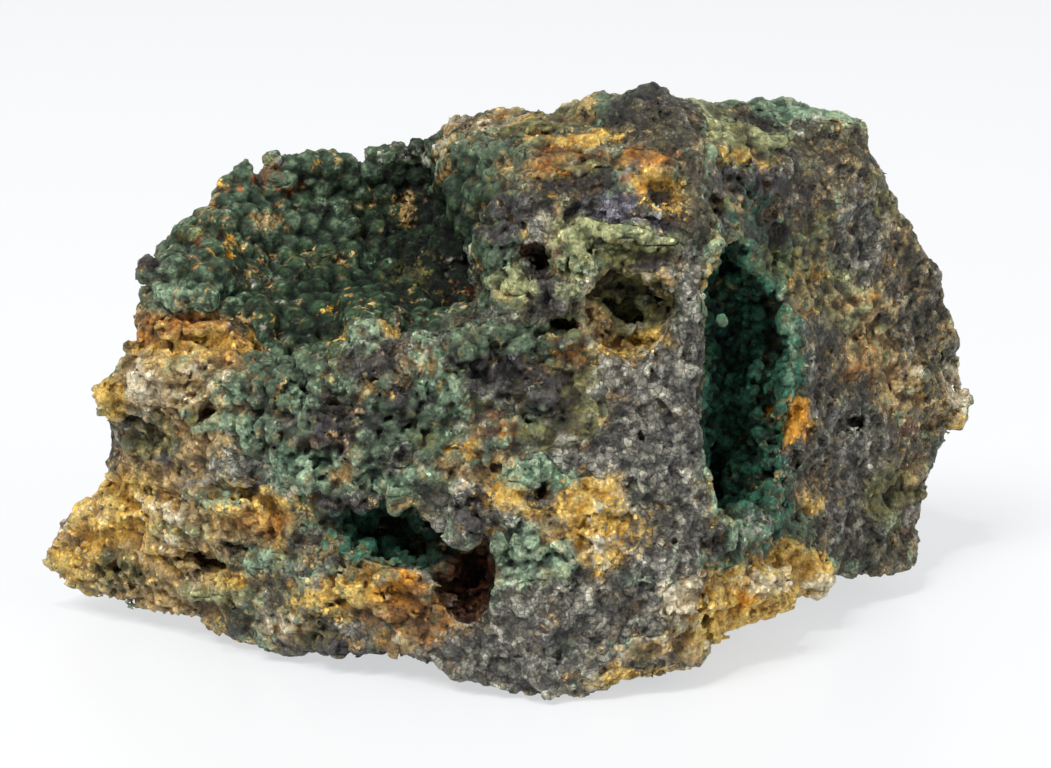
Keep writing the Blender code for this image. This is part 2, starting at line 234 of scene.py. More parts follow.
# ---- Patches: mineral, place in the photograph and half size there, in pixels, and strength ------------
PATCHES = {
    "ground_left_high": ("tan", 170, 370, 80, 60, 1.2),
    "ground_left": ("tan", 170, 520, 130, 90, 1.05),
    "ground_left_ochre": ("ochre", 130, 545, 110, 60, 0.62),
    "ground_front": ("green", 390, 430, 130, 75, 0.75),
    "ground_foot": ("galena", 570, 610, 120, 90, 0.70),
    "ground_right": ("slate", 860, 360, 130, 220, 0.85),
    "ground_right_olive": ("olive", 800, 260, 80, 70, 0.75),
    "bowl_floor": ("pine", 335, 300, 120, 60, 2.2),
    "bowl_wall_left": ("green", 285, 225, 95, 55, 1.4),
    "bowl_wall_dark": ("pine", 318, 235, 70, 55, 1.35),
    "bowl_wall_right": ("pine", 400, 225, 70, 70, 1.7),
    "bowl_back_rim": ("green", 345, 172, 95, 25, 1.4),
    "bowl_left_bank": ("green", 195, 275, 55, 45, 1.3),
    "bowl_left_top": ("green", 235, 190, 40, 35, 1.2),
    "bowl_lip": ("green", 290, 370, 60, 45, 1.4),
    "bowl_lip_right": ("green", 430, 322, 60, 26, 1.3),
    # Painted shade: very dark green, and dark pine below it, where the recess under the buttress lies in
    # shade.
    "bowl_shade": ("painted_shade_green", 452, 262, 34, 58, 3.2),
    "bowl_shade_high": ("painted_shade_green", 420, 205, 26, 40, 2.8),
    "bowl_shade_back": ("painted_shade_green", 412, 250, 34, 44, 2.6),
    "bowl_shade_low": ("pine", 390, 290, 60, 30, 1.8),
    "bowl_brown_knob": ("rust", 272, 183, 22, 12, 1.7),
    "bowl_tan_edge": ("tan", 219, 203, 10, 22, 1.2),
    "bowl_ochre_spot": ("tan", 271, 220, 14, 12, 2.4),
    "bowl_ochre_left": ("ochre", 226, 253, 8, 12, 1.0),
    "bowl_ochre_terrace": ("olive", 312, 260, 26, 8, 2.0),
    "bowl_ochre_terrace_two": ("tan", 340, 266, 12, 6, 1.5),
    "bowl_ochre_step": ("ochre", 333, 306, 12, 9, 1.0),
    "bowl_ochre_front": ("ochre", 338, 341, 16, 8, 1.2),
    "bowl_ochre_front_right": ("ochre", 386, 331, 14, 7, 1.3),
    "bowl_tan_wall": ("tan", 406, 206, 15, 13, 2.4),
    "bowl_tan_wall_left": ("tan", 366, 206, 12, 8, 1.1),
    "bowl_tan_foot": ("olive", 417, 274, 18, 18, 3.0),
    "bowl_rust_shade": ("rust", 462, 296, 20, 12, 1.2),
    "bank_rust": ("rust", 200, 244, 14, 10, 1.0),
    "bank_dark": ("dusk", 152, 268, 16, 14, 1.2),
    "bank_mint": ("mint", 170, 292, 28, 14, 1.1),
    "bank_mint_right": ("mint", 228, 300, 26, 16, 0.9),
    "lobe_amber": ("amber", 175, 328, 42, 13, 2.6),
    "lobe_ochre": ("ochre", 200, 346, 56, 14, 1.9),
    "lobe_amber_low": ("amber", 228, 352, 24, 14, 1.6),
    "lobe_tan_left": ("cream", 168, 396, 26, 8, 1.4),
    "lobe_tan": ("tan", 190, 366, 62, 24, 1.9),
    "lobe_cream": ("cream", 141, 384, 14, 14, 5.0),
    "lobe_pink": ("tan", 175, 384, 36, 10, 2.6),
    "lobe_olive": ("sage", 172, 364, 16, 6, 1.9),
    "lobe_cream_right": ("cream", 200, 376, 34, 12, 1.5),
    "lobe_tip": ("ochre", 104, 396, 16, 20, 2.0),
    "lobe_mint": ("mint", 232, 392, 30, 18, 1.0),
    "lobe_underside": ("tan", 190, 405, 60, 12, 1.0),
    "notch_sliver": ("umber", 112, 450, 10, 30, 1.2),
    "notch_olive": ("olive", 160, 440, 34, 26, 1.6),
    "layer_grey": ("galena", 238, 468, 30, 18, 1.5),
    "layer_olive": ("olive", 195, 425, 55, 16, 1.0),
    "layer_nodule": ("dusk", 164, 454, 11, 10, 1.3),
    "layer_tan_left": ("tan", 165, 478, 40, 12, 1.6),
    "layer_tan_middle": ("tan", 205, 448, 26, 18, 1.5),
    "layer_mint_high": ("mint", 240, 425, 30, 14, 1.2),
    "layer_rust": ("amber", 184, 424, 12, 6, 1.2),
    "layer_mint": ("mint", 292, 470, 34, 20, 0.9),
    "layer_tan": ("ochre", 250, 510, 46, 20, 1.5),
    "layer_amber": ("amber", 262, 522, 30, 10, 1.9),
    "layer_umber": ("umber", 236, 546, 26, 8, 0.9),
    "layer_cream": ("cream", 296, 490, 10, 10, 1.6),
    "layer_mint_low": ("mint", 215, 500, 30, 10, 1.2),
    "foot_cream": ("cream", 112, 514, 34, 7, 3.0),
    "foot_cream_high": ("cream", 152, 508, 36, 10, 2.6),
    "foot_ochre": ("ochre", 128, 512, 60, 28, 3.2),
    "foot_sage": ("sage", 170, 530, 36, 10, 1.6),
    "foot_mint_low": ("mint", 262, 562, 24, 10, 1.4),
    "foot_sage_low": ("sage", 205, 590, 40, 8, 1.3),
    "foot_ochre_low": ("ochre", 225, 575, 26, 8, 1.5),
    "foot_amber": ("amber", 70, 535, 22, 10, 0.9),
    "foot_tan": ("ochre", 72, 562, 36, 24, 1.5),
    "foot_olive": ("olive", 122, 572, 40, 14, 1.5),
    "foot_cream_low": ("cream", 175, 545, 26, 10, 1.0),
    "foot_slit": ("umber", 190, 572, 16, 6, 1.6),
    "foot_edge": ("tan", 170, 600, 70, 20, 1.8),
    "skirt_green": ("green", 245, 610, 36, 20, 0.65),
    "skirt_cream": ("cream", 286, 622, 20, 10, 1.5),
    "skirt_tan": ("ochre", 330, 598, 34, 22, 1.3),
    "skirt_amber": ("amber", 405, 604, 44, 18, 1.7),
    "skirt_orange": ("orange", 402, 588, 22, 7, 1.9),
    "skirt_amber_edge": ("amber", 425, 622, 26, 16, 1.6),
    "skirt_ochre": ("ochre", 350, 588, 44, 20, 1.15),
    "skirt_olive": ("olive", 315, 640, 30, 12, 1.0),
    "skirt_mint": ("mint", 320, 575, 30, 10, 0.8),
    "skirt_dark": ("dusk", 330, 648, 60, 10, 0.9),
    "skirt_edge": ("tan", 390, 645, 40, 10, 0.9),
    "crust_tip": ("mint", 371, 335, 8, 10, 1.0),
    "crust_tip_right": ("mint", 424, 352, 12, 24, 0.9),
    "crust_dusk_left": ("dusk", 343, 421, 30, 28, 1.7),
    "crust_dusk_middle": ("dusk", 409, 390, 24, 17, 1.6),
    "crust_dusk_right": ("dusk", 505, 376, 42, 18, 1.5),
    "crust_dusk_low": ("galena", 400, 456, 24, 15, 1.1),
    "crust_green_left": ("green", 280, 420, 50, 40, 1.1),
    "crust_green_middle": ("green", 400, 420, 110, 60, 0.85),
    "crust_green_right": ("green", 500, 350, 60, 30, 1.0),
    "crust_mint_left": ("mint", 322, 462, 26, 12, 1.35),
    "crust_mint_middle": ("mint", 334, 384, 22, 6, 1.0),
    "crust_dusk_tip": ("dusk", 379, 364, 14, 16, 1.8),
    "crust_mint_hollow": ("mint", 366, 432, 8, 22, 1.2),
    "crust_mint_far": ("mint", 430, 376, 10, 16, 1.2),
    "crust_olive": ("olive", 430, 438, 18, 14, 1.1),
    "crust_mint_low": ("mint", 387, 476, 34, 8, 1.35),
    "crust_mint_right": ("mint", 452, 403, 14, 20, 1.3),
    "crust_mint_spot": ("mint", 300, 398, 14, 12, 1.0),
    "crust_cream_high": ("cream", 491, 369, 9, 6, 1.2),
    "crust_cream_left": ("cream", 404, 366, 8, 5, 1.1),
    "crust_rust_left": ("rust", 309, 437, 12, 9, 1.1),
    "crust_tan_left": ("tan", 296, 446, 26, 12, 0.8),
    "crust_cream_specks": ("cream", 465, 492, 9, 12, 1.4),
    "crust_tan": ("ochre", 461, 443, 24, 13, 1.0),
    "crust_tan_low": ("tan", 452, 470, 40, 16, 1.0),
    "crust_rust": ("rust", 482, 410, 12, 9, 1.4),
    "crust_amber": ("amber", 500, 425, 26, 9, 0.9),
    "crust_dusk_far": ("dusk", 552, 399, 22, 16, 1.4),
    "crust_galena": ("galena", 500, 385, 26, 14, 0.8),
    "nodule_high": ("dusk", 486, 512, 30, 15, 1.3),
    "nodule_low": ("dusk", 462, 545, 22, 15, 1.2),
    "pocket_teal": ("teal", 385, 532, 55, 24, 1.8),
    "pocket_roof": ("dusk", 345, 500, 30, 16, 1.0),
    "pocket_rust": ("rust", 474, 585, 28, 40, 1.9),
    "buttress_green": ("green", 472, 185, 34, 50, 1.2),
    "buttress_pine": ("pine", 465, 200, 30, 44, 1.25),
    "buttress_green_high": ("green", 500, 160, 24, 18, 1.2),
    "buttress_dusk": ("dusk", 505, 215, 28, 30, 1.0),
    "buttress_cream": ("cream", 486, 128, 30, 9, 1.1),
    "buttress_tan": ("olive", 540, 128, 56, 9, 1.5),
    "buttress_amber": ("amber", 560, 163, 34, 20, 1.1),
    "buttress_olive": ("olive", 575, 166, 46, 18, 1.2),
    "buttress_orange": ("orange", 641, 190, 7, 5, 1.8),
    "buttress_tan_spot": ("tan", 505, 168, 8, 10, 1.5),
    "buttress_ochre": ("amber", 622, 162, 44, 12, 1.2),
    "buttress_ochre_crest": ("ochre", 585, 142, 52, 8, 1.05),
    "buttress_umber": ("umber", 586, 180, 26, 9, 1.7),
    "buttress_ochre_low": ("ochre", 652, 184, 30, 14, 1.3),
    "buttress_rust": ("rust", 555, 158, 11, 13, 1.5),
    "buttress_brown": ("rust", 625, 182, 18, 6, 1.1),
    "buttress_green_low": ("green", 500, 252, 24, 24, 0.9),
    "buttress_pale": ("sage", 514, 281, 13, 12, 2.0),
    "buttress_pale_high": ("sage", 583, 228, 9, 20, 1.7),
    "buttress_strip": ("sage", 572, 258, 14, 34, 1.2),
    "buttress_strip_cream": ("cream", 586, 300, 9, 28, 1.1),
    "buttress_strip_rust": ("rust", 558, 254, 6, 10, 1.3),
    "buttress_strip_low": ("tan", 592, 322, 12, 22, 1.1),
    "buttress_knob": ("dusk", 551, 292, 18, 18, 1.4),
    "buttress_window": ("umber", 537, 264, 12, 20, 1.6),
    "buttress_window_rim": ("rust", 530, 250, 8, 8, 1.6),
    "buttress_ring": ("ochre", 664, 197, 25, 24, 1.4),
    "buttress_eye": ("umber", 664, 195, 11, 12, 3.0),
    "violet_film": ("violet", 618, 210, 34, 9, 3.0),
    "violet_film_right": ("violet", 658, 226, 20, 9, 2.4),
    "niche_lid": ("sage", 636, 236, 40, 12, 2.1),
    "niche_lid_low": ("olive", 640, 254, 42, 14, 1.8),
    "niche_eye": ("dusk", 650, 267, 20, 7, 2.0),
    "niche_olive": ("olive", 632, 290, 46, 34, 1.5),
    "niche_drips": ("olive", 642, 318, 30, 26, 1.6),
    "niche_dark": ("umber", 618, 312, 12, 26, 1.2),
    "niche_sill": ("ochre", 632, 352, 34, 10, 1.1),
    "niche_ochre": ("ochre", 652, 340, 14, 8, 1.3),
    "lap_olive": ("olive", 580, 398, 30, 36, 1.3),
    "lap_amber": ("amber", 565, 365, 26, 14, 0.8),
    "slab": ("slate", 650, 118, 48, 30, 1.9),
    "slab_dark": ("dusk", 640, 110, 34, 18, 1.8),
    "slab_umber": ("umber", 640, 106, 30, 16, 2.0),
    "slab_umber_right": ("umber", 668, 142, 14, 14, 1.2),
    "slab_green": ("green", 607, 104, 8, 12, 1.2),
    "slab_tan": ("olive", 580, 108, 30, 10, 0.9),
    "ridge_high": ("slate", 693, 190, 12, 70, 1.8),
    "ridge_middle": ("galena", 690, 330, 10, 90, 1.9),
    "ridge_low": ("galena", 692, 470, 12, 110, 1.9),
    "face_galena_high": ("galena", 655, 385, 44, 34, 2.3),
    "face_galena_middle": ("galena", 645, 450, 46, 46, 2.3),
    "face_galena_low": ("galena", 640, 560, 50, 40, 1.7),
    "face_galena_foot": ("galena", 575, 610, 80, 36, 1.7),
    "face_galena_keel": ("galena", 500, 655, 70, 26, 1.9),
    "face_dusk_keel": ("dusk", 560, 625, 34, 24, 0.9),
    "face_ochre": ("ochre", 604, 528, 32, 34, 2.4),
    "face_ochre_high": ("ochre", 606, 487, 26, 12, 1.6),
    "face_galena_between": ("galena", 590, 460, 34, 14, 1.5),
    "face_cream": ("cream", 600, 545, 18, 20, 1.7),
    "face_ochre_left": ("ochre", 510, 500, 28, 20, 1.6),
    "face_umber_hole": ("umber", 540, 498, 8, 14, 1.5),
    "face_mint_high": ("mint", 535, 474, 28, 13, 1.3),
    "face_tan_high": ("tan", 500, 460, 30, 16, 1.1),
    "face_olive_high": ("olive", 545, 430, 20, 20, 1.2),
    "face_mint_middle": ("mint", 530, 558, 34, 24, 1.1),
    "face_sage_middle": ("sage", 556, 572, 20, 14, 0.9),
    "face_teal_left": ("green", 505, 548, 12, 20, 1.2),
    "face_galena_mixed": ("galena", 540, 585, 40, 20, 1.1),
    "face_mint_low": ("mint", 500, 575, 16, 20, 0.75),
    "face_mint_right": ("mint", 640, 575, 30, 14, 0.9),
    "face_violet": ("violet", 680, 460, 12, 14, 0.8),
    "face_cream_right": ("cream", 682, 598, 20, 20, 2.0),
    "face_tan_foot": ("tan", 655, 650, 40, 12, 1.1),
    "face_ochre_foot": ("ochre", 620, 680, 50, 7, 1.1),
    "slot_teal": ("teal", 736, 385, 40, 130, 3.0),
    "slot_teal_high": ("teal", 716, 270, 16, 40, 2.4),
    "slot_teal_low": ("teal", 732, 500, 40, 30, 2.4),
    "slot_mint_edge": ("mint", 789, 360, 4, 45, 1.3),
    "slot_mint_blade": ("mint", 750, 372, 8, 34, 1.3),
    "slot_mint_knob": ("mint", 708, 252, 8, 8, 1.5),
    "slot_sill": ("mint", 735, 532, 38, 16, 0.85),
    "slot_sill_dark": ("dusk", 718, 540, 16, 14, 1.3),
    "slot_sill_green": ("green", 725, 555, 40, 20, 1.1),
    "ledge_mint": ("mint", 812, 110, 56, 8, 2.6),
    "ledge_green": ("green", 750, 97, 80, 7, 2.0),
    "slope_olive": ("olive", 742, 138, 40, 16, 1.8),
    "slope_ochre": ("sage", 716, 124, 12, 24, 1.8),
    "slope_sage": ("sage", 768, 140, 22, 8, 1.5),
    "slope_umber": ("umber", 768, 118, 18, 10, 1.5),
    "slope_edge": ("ochre", 748, 156, 36, 5, 1.2),
    "right_top": ("slate", 825, 160, 44, 30, 1.5),
    "right_dusk": ("dusk", 750, 185, 34, 16, 1.3),
    "right_umber": ("umber", 768, 232, 26, 22, 1.7),
    "right_olive": ("olive", 785, 268, 46, 26, 2.0),
    "right_sage": ("sage", 806, 262, 16, 8, 1.3),
    "right_olive_foot": ("olive", 880, 490, 16, 30, 1.6),
    "right_ochre": ("ochre", 812, 270, 22, 12, 1.3),
    "right_ochre_low": ("ochre", 796, 312, 26, 8, 0.8),
    "right_tan": ("tan", 800, 300, 40, 20, 1.2),
    "right_slate": ("galena", 860, 245, 34, 50, 1.7),
    "right_umber_high": ("umber", 800, 190, 24, 16, 1.2),
    "right_tan_high": ("tan", 846, 300, 20, 20, 2.0),
    "right_tan_middle": ("tan", 872, 330, 34, 46, 1.6),
    "right_sage_middle": ("sage", 848, 282, 20, 26, 1.3),
    "right_sage_low": ("sage", 868, 318, 26, 34, 1.25),
    "right_slate_low": ("galena", 850, 445, 60, 50, 1.4),
    "right_amber": ("orange", 874, 301, 8, 7, 1.9),
    "right_amber_middle": ("amber", 868, 345, 11, 11, 1.8),
    "right_rust": ("rust", 905, 425, 14, 12, 1.1),
    "right_amber_low": ("amber", 850, 376, 22, 8, 1.6),
    "right_tan_low": ("tan", 900, 380, 40, 40, 1.3),
    "right_olive_middle": ("olive", 830, 300, 24, 30, 1.5),
    "right_orange_spot": ("orange", 798, 421, 10, 15, 7.0),
    "right_galena": ("galena", 800, 440, 30, 30, 1.1),
    "right_olive_edge": ("olive", 885, 200, 16, 24, 1.7),
    "right_olive_low": ("olive", 890, 500, 26, 30, 1.5),
    "right_galena_low": ("galena", 840, 520, 30, 22, 1.5),
    "right_mint_high": ("mint", 702, 190, 6, 20, 1.1),
    "right_rust_top": ("rust", 832, 150, 12, 9, 1.2),
    "right_rust_edge": ("rust", 905, 520, 8, 16, 1.1),
    "right_ochre_speck": ("ochre", 816, 506, 13, 7, 1.5),
    "right_green_low": ("green", 800, 530, 44, 18, 0.9),
    "right_white_speck": ("cream", 919, 369, 9, 7, 2.2),
    "right_grey_edge": ("slate", 925, 310, 26, 50, 1.5),
    "right_edge_cream": ("cream", 961, 390, 10, 24, 1.8),
    "right_edge_ochre": ("ochre", 964, 430, 12, 12, 1.6),
    "right_foot_dark": ("slate", 885, 560, 26, 20, 1.3),
    "quartz_ochre": ("ochre", 790, 585, 64, 28, 3.8),
    "quartz_amber": ("ochre", 735, 608, 38, 28, 3.0),
    "quartz_orange": ("orange", 742, 602, 18, 12, 2.4),
    "quartz_cream": ("cream", 770, 580, 44, 9, 4.0),
    "quartz_cream_right": ("cream", 815, 592, 24, 12, 4.0),
    "quartz_cream_low": ("cream", 745, 592, 26, 8, 3.2),
    "quartz_rust": ("rust", 708, 580, 6, 18, 1.5),
}

# ---- Patches that the photograph doesn't show: mineral, middle and half sizes in millimetres, strength --
HIDDEN_PATCHES = {
    "back_green": ("green", (-18, 19, 34), (12, 6, 6), 1.1),
    "back_slate": ("slate", (10, 24, 22), (24, 10, 18), 0.9),
    "back_tan": ("tan", (-30, 14, 15), (14, 10, 12), 1.0),
    "back_ochre": ("ochre", (22, 22, 10), (16, 8, 7), 0.9),
    "back_galena": ("galena", (-6, 22, 14), (14, 8, 10), 1.0),
    "back_amber": ("amber", (4, 22, 32), (10, 6, 5), 0.9),
    "back_cream": ("cream", (34, 20, 26), (8, 8, 6), 0.9),
    "top_tan": ("tan", (6, 12, 46), (14, 8, 4), 0.9),
    "top_mint": ("mint", (24, 13, 47), (10, 5, 3), 1.1),
    "under_slate": ("slate", (0, 2, 0), (30, 22, 4), 0.8),
    "under_tan": ("tan", (-24, 4, 2), (14, 12, 5), 0.9),
}
# How strongly the common minerals claim every place, patch or no patch.
COMMON = {"slate": 0.28, "tan": 0.22, "galena": 0.24, "green": 0.15, "ochre": 0.09, "olive": 0.18,
          "mint": 0.12, "dusk": 0.11}

# ---- Holes: place in the photograph, half sizes there in pixels, turn in degrees, depth in millimetres ----
HOLES = {
    "buttress_window": (537, 262, 11, 16, 8, 5.0),
    "buttress_window_foot": (535, 296, 6, 15, -6, 3.5),
    "buttress_slit": (560, 323, 12, 6, 20, 4.0),
    "buttress_recess": (572, 216, 7, 13, 0, 0.9),
    "niche": (628, 304, 30, 22, -8, 1.1),
    "niche_deep": (617, 322, 8, 18, 4, 1.6),
    "niche_right": (660, 300, 8, 14, 0, 1.2),
    "eye": (666, 196, 12, 13, 0, 0.7),
    "ridge_hole": (717, 204, 9, 10, 0, 3.0),
    "slot_shoulder": (772, 335, 20, 44, 12, 4.0),
    "slot_side": (768, 420, 14, 60, 0, 4.0),
    "slot_foot_side": (766, 478, 13, 22, 0, 3.0),
    "slot_left": (714, 300, 17, 50, -4, 5.5),
    "slot_left_high": (717, 342, 17, 40, 0, 6.0),
    "slot_left_middle": (713, 385, 17, 60, 0, 5.5),
    "slot_left_foot": (714, 468, 17, 44, 0, 5.0),
    "slot_head": (722, 276, 13, 28, -30, 3.5),
    "right_hole": (856, 424, 12, 9, -35, 3.2),
    "right_hole_low": (795, 458, 5, 12, 20, 2.6),
    "right_pits": (780, 240, 26, 18, 0, 1.0),
    "face_hole": (541, 493, 7, 14, 0, 3.0),
    "face_pit": (529, 422, 5, 4, 0, 2.0),
    "pocket": (388, 526, 44, 18, 14, 6.0),
    "pocket_right": (415, 545, 22, 20, 0, 6.0),
    "rust_hollow": (474, 566, 18, 22, 0, 2.6),
    "rust_hollow_foot": (470, 600, 17, 13, 0, 2.2),
    "foot_slit": (205, 561, 24, 5, -8, 2.6),
    "foot_recess": (232, 545, 24, 8, -12, 1.4),
    "foot_pit": (124, 570, 13, 8, 10, 1.8),
    "foot_pit_right": (160, 606, 10, 5, 0, 1.4),
    "layer_pit": (152, 492, 8, 7, 0, 1.8),
    "layer_pit_high": (208, 414, 10, 7, 10, 2.0),
    "lobe_pit": (151, 361, 6, 5, 0, 1.4),
    "lobe_overhang": (150, 425, 28, 6, -18, 1.6),
    "lip_hole": (281, 361, 9, 6, 0, 2.6),
    "lip_slit": (305, 392, 8, 15, 6, 2.6),
    "crust_slit": (400, 430, 12, 3, 20, 1.6),
    "crust_pit": (283, 440, 14, 4, -40, 1.8),
    "cleft": (707, 645, 3, 16, 0, 2.5),
}

# ---- Lumps: place in the photograph, half sizes there in pixels, turn in degrees, millimetres they stand out
LUMPS = {
    "buttress_knob_left": (500, 242, 24, 28, 0, 1.6),
    "buttress_knob_high": (490, 208, 16, 18, 0, 0.8),
    "buttress_knob_low": (556, 297, 18, 18, 0, 1.4),
    "buttress_strip": (578, 268, 14, 36, 18, 1.3),
    "buttress_strip_foot": (592, 318, 15, 26, 8, 1.2),
    "buttress_knob_right": (612, 333, 16, 14, 0, 1.6),
    "buttress_knob_foot": (571, 335, 14, 12, 0, 1.0),
    "buttress_blade": (583, 230, 5, 15, 0, 0.7),
    "buttress_shelf": (550, 197, 25, 8, -10, 0.7),
    "top_lip": (560, 132, 50, 10, -6, 0.4),
    "top_lip_amber": (620, 158, 46, 13, -14, 0.5),
    "eye_rim_low": (662, 216, 20, 5, -16, 0.8),
    "eye_rim_right": (684, 192, 5, 22, 6, 0.6),
    "niche_lid": (640, 236, 36, 12, -14, 1.5),
    "niche_lens": (636, 266, 36, 12, 4, 1.9),
    "niche_drip_left": (616, 296, 9, 11, 0, 1.0),
    "niche_drip_middle": (637, 306, 11, 19, -8, 1.2),
    "niche_drip_right": (650, 334, 17, 19, -10, 1.3),
    "lip_ball_left": (257, 326, 18, 20, 0, 1.2),
    "lip_ball_mint": (291, 379, 11, 10, 0, 1.2),
    "lip_ball_middle": (312, 368, 14, 13, 0, 1.4),
    "lip_ball_right": (345, 378, 15, 20, 0, 1.0),
    "rim_knob": (330, 342, 14, 12, 0, 0.9),
    "rim_knob_right": (480, 340, 34, 18, 20, 1.4),
    "rim_knob_far": (520, 352, 20, 16, 0, 1.1),
    "bank_knob": (165, 272, 20, 14, 0, 1.0),
    "bank_knob_low": (188, 300, 22, 12, 0, 0.8),
    "crest_knob": (272, 180, 24, 14, 0, 1.0),
    "front_knob_left": (325, 424, 26, 28, 0, 1.1),
    "front_knob_middle": (397, 396, 30, 22, 0, 1.2),
    "front_knob_low": (384, 444, 24, 18, 0, 1.1),
    "front_knob_right": (456, 392, 24, 20, 0, 1.1),
    "front_knob_far": (540, 392, 24, 20, 0, 0.9),
    "pocket_brow": (350, 492, 34, 14, -18, 1.2),
    "pocket_brow_right": (404, 500, 24, 10, -8, 0.9),
    "pocket_nodule": (460, 530, 23, 21, 0, 2.4),
    "pocket_nodule_small": (443, 571, 16, 16, 0, 1.9),
    "pocket_nodule_amber": (428, 533, 9, 8, 0, 1.1),
    "pocket_sill": (405, 580, 26, 9, -14, 1.2),
    "pocket_ball": (421, 549, 10, 9, 0, 1.2),
    "pocket_ball_deep": (392, 548, 17, 12, 0, 1.0),
    "hollow_ball": (482, 612, 13, 9, 0, 0.2),
    "hollow_ball_right": (486, 588, 9, 8, 0, 0.8),
    "hollow_ball_left": (458, 602, 8, 9, 0, 0.8),
    "lobe_crystal": (141, 384, 17, 17, 10, 0.9),
    "lobe_end": (104, 396, 14, 20, 0, 0.6),
    "lobe_band": (188, 328, 36, 11, -8, 0.8),
    "lobe_band_low": (190, 370, 52, 16, -6, 0.7),
    "layer_block": (240, 462, 32, 26, -20, 0.9),
    "layer_nodule": (164, 454, 13, 12, 0, 0.9),
    "layer_tan": (255, 512, 40, 18, -18, 0.9),
    "foot_bed": (126, 513, 30, 12, -30, 0.7),
    "foot_bed_low": (106, 563, 27, 12, -20, 0.4),
    "foot_bed_right": (250, 590, 60, 12, -16, 0.8),
    "amber_quartz": (385, 598, 54, 22, -28, 0.5),
    "amber_quartz_left": (318, 600, 30, 26, 0, 0.8),
    "face_quartz": (606, 520, 32, 38, 12, 0.6),
    "face_quartz_left": (512, 505, 26, 18, 0, 0.5),
    "slot_ball_high": (738, 340, 20, 22, 0, 0.9),
    "slot_ball_low": (745, 470, 20, 20, 0, 1.0),
    "slot_ball_foot": (716, 488, 16, 16, 0, 0.9),
    "slot_blade": (757, 372, 3, 22, -28, 1.6),
    "slot_sill": (742, 528, 26, 18, 12, 1.2),
    "right_end": (962, 404, 11, 26, 0, 0.3),
    "right_white": (920, 370, 9, 8, 0, 0.6),
    "quartz_block": (750, 590, 44, 26, 16, 0.8),
    "quartz_block_right": (810, 578, 28, 24, 0, 0.6),
}

# ---- Tips that stand up from the crust: place of the foot in the photograph, height and radius in mm -----
TIPS = {
    "rim_tip": (370, 360, 4.4, 1.5),
    "rim_tip_side": (381, 362, 2.6, 1.1),
    "rim_tip_low": (352, 372, 1.8, 1.1),
    "rim_tip_right": (425, 368, 2.4, 1.0),
    "rim_tip_far": (445, 352, 1.3, 1.2),
    "left_tip": (318, 392, 2.0, 0.8),
    "pale_tip": (514, 284, 1.4, 1.0),
    "pale_tip_high": (583, 240, 1.8, 0.8),
    "sill_tip": (352, 482, 1.3, 0.9),
}

# ---- Zones: middle and half sizes in millimetres, and the smallest and largest balls of crust there ------
ZONES = {
    "bowl": ((-14.0, 0.0, 35.0), (19.0, 15.0, 13.0), (0.62, 1.45)),
    "slot": ((20.0, -6.0, 25.0), (7.0, 13.0, 16.0), (0.35, 0.75)),
    "ledge": ((24.0, 10.0, 50.0), (14.0, 14.0, 6.0), (0.10, 0.12)),
}
OPEN_BALLS = (0.30, 0.95)                # the balls of crust everywhere else

# ---- Stage: floor and soft light all round, then lamps with place in metres, diameter in metres and watts --
FLOOR_HALF = 3.0
FLOOR = {"Base Color": (0.25, 0.26, 0.275, 1), "Roughness": 0.35, "Specular IOR Level": 0.25,
         "Emission Color": (0.97, 0.985, 1.0, 1), "Emission Strength": 0.595}
SKY = {"Color": (1.0, 0.99, 0.97, 1), "Strength": 0.565}
LAMP_COLOUR = (1.0, 0.975, 0.93)
LAMP_AIM = (0, 0, 0.025)
LAMPS = {
    "key": ((-0.50, -0.55, 1.00), 0.50, 13.0),
    "fill": ((0.90, -0.60, 0.60), 0.60, 4.0),
    "glint": ((-0.10, -0.25, 0.60), 0.05, 1.2),
}

# ---- Random tables -----------------------------------------------------------------------------------------
TABLE = 64                               # the random tables repeat after this many cells
RANDOM = np.random.default_rng(2501)
LATTICE = RANDOM.random(TABLE ** 3, dtype=np.float32)
JITTER = 0.12 + 0.76 * RANDOM.random((TABLE ** 3, 3), dtype=np.float32)
LOT = RANDOM.random((TABLE ** 3, 4), dtype=np.float32)
TILT = RANDOM.normal(size=(TABLE ** 3, 3)).astype(np.float32)
TURN = np.array([[0.36, 0.48, -0.80], [-0.80, 0.60, 0.0], [0.48, 0.64, 0.60]], np.float32)
SWELL_SHIFT, GRAIN_SHIFT = 17.31, 9.17   # how far a seed shifts a pattern, in cells
LOT_STRIDE, SET_STRIDE = 7919, 104729    # primes that give each mineral and each colour lots of its own
CUBE = np.array(list(product((0, 1), repeat=3)), np.int32)


# ---- Random patterns ----------------------------------------------------------------------------------
def table_index(cell):
    """Where a lattice cell's random values are in the tables."""
    wrapped = cell & (TABLE - 1)
    return (wrapped[:, 0] * TABLE + wrapped[:, 1]) * TABLE + wrapped[:, 2]


def cell_corners(part):
    """The eight corners of a lattice cell, and the share of each at places part of the way through it."""
    for corner in CUBE:
        shares = [part[:, axis] if ahead else 1 - part[:, axis] for axis, ahead in enumerate(corner)]
        yield corner, shares[0] * shares[1] * shares[2]


def swell(points, size, seed):
    """Smooth random values from -1 to 1, with features of that size."""
    q = points.astype(np.float32) @ TURN / size + seed * SWELL_SHIFT
    cell = np.floor(q).astype(np.int32)
    part = q - cell
    part = part * part * (3 - 2 * part)
    total = np.zeros(len(q), np.float32)
    for corner, share in cell_corners(part):
        total += share * LATTICE[table_index(cell + corner)]
    return 2 * total - 1


def swells(points, size, seed):
    """Three swells side by side, to bend places with."""
    return np.stack([swell(points, size, seed + axis) for axis in range(3)], 1)


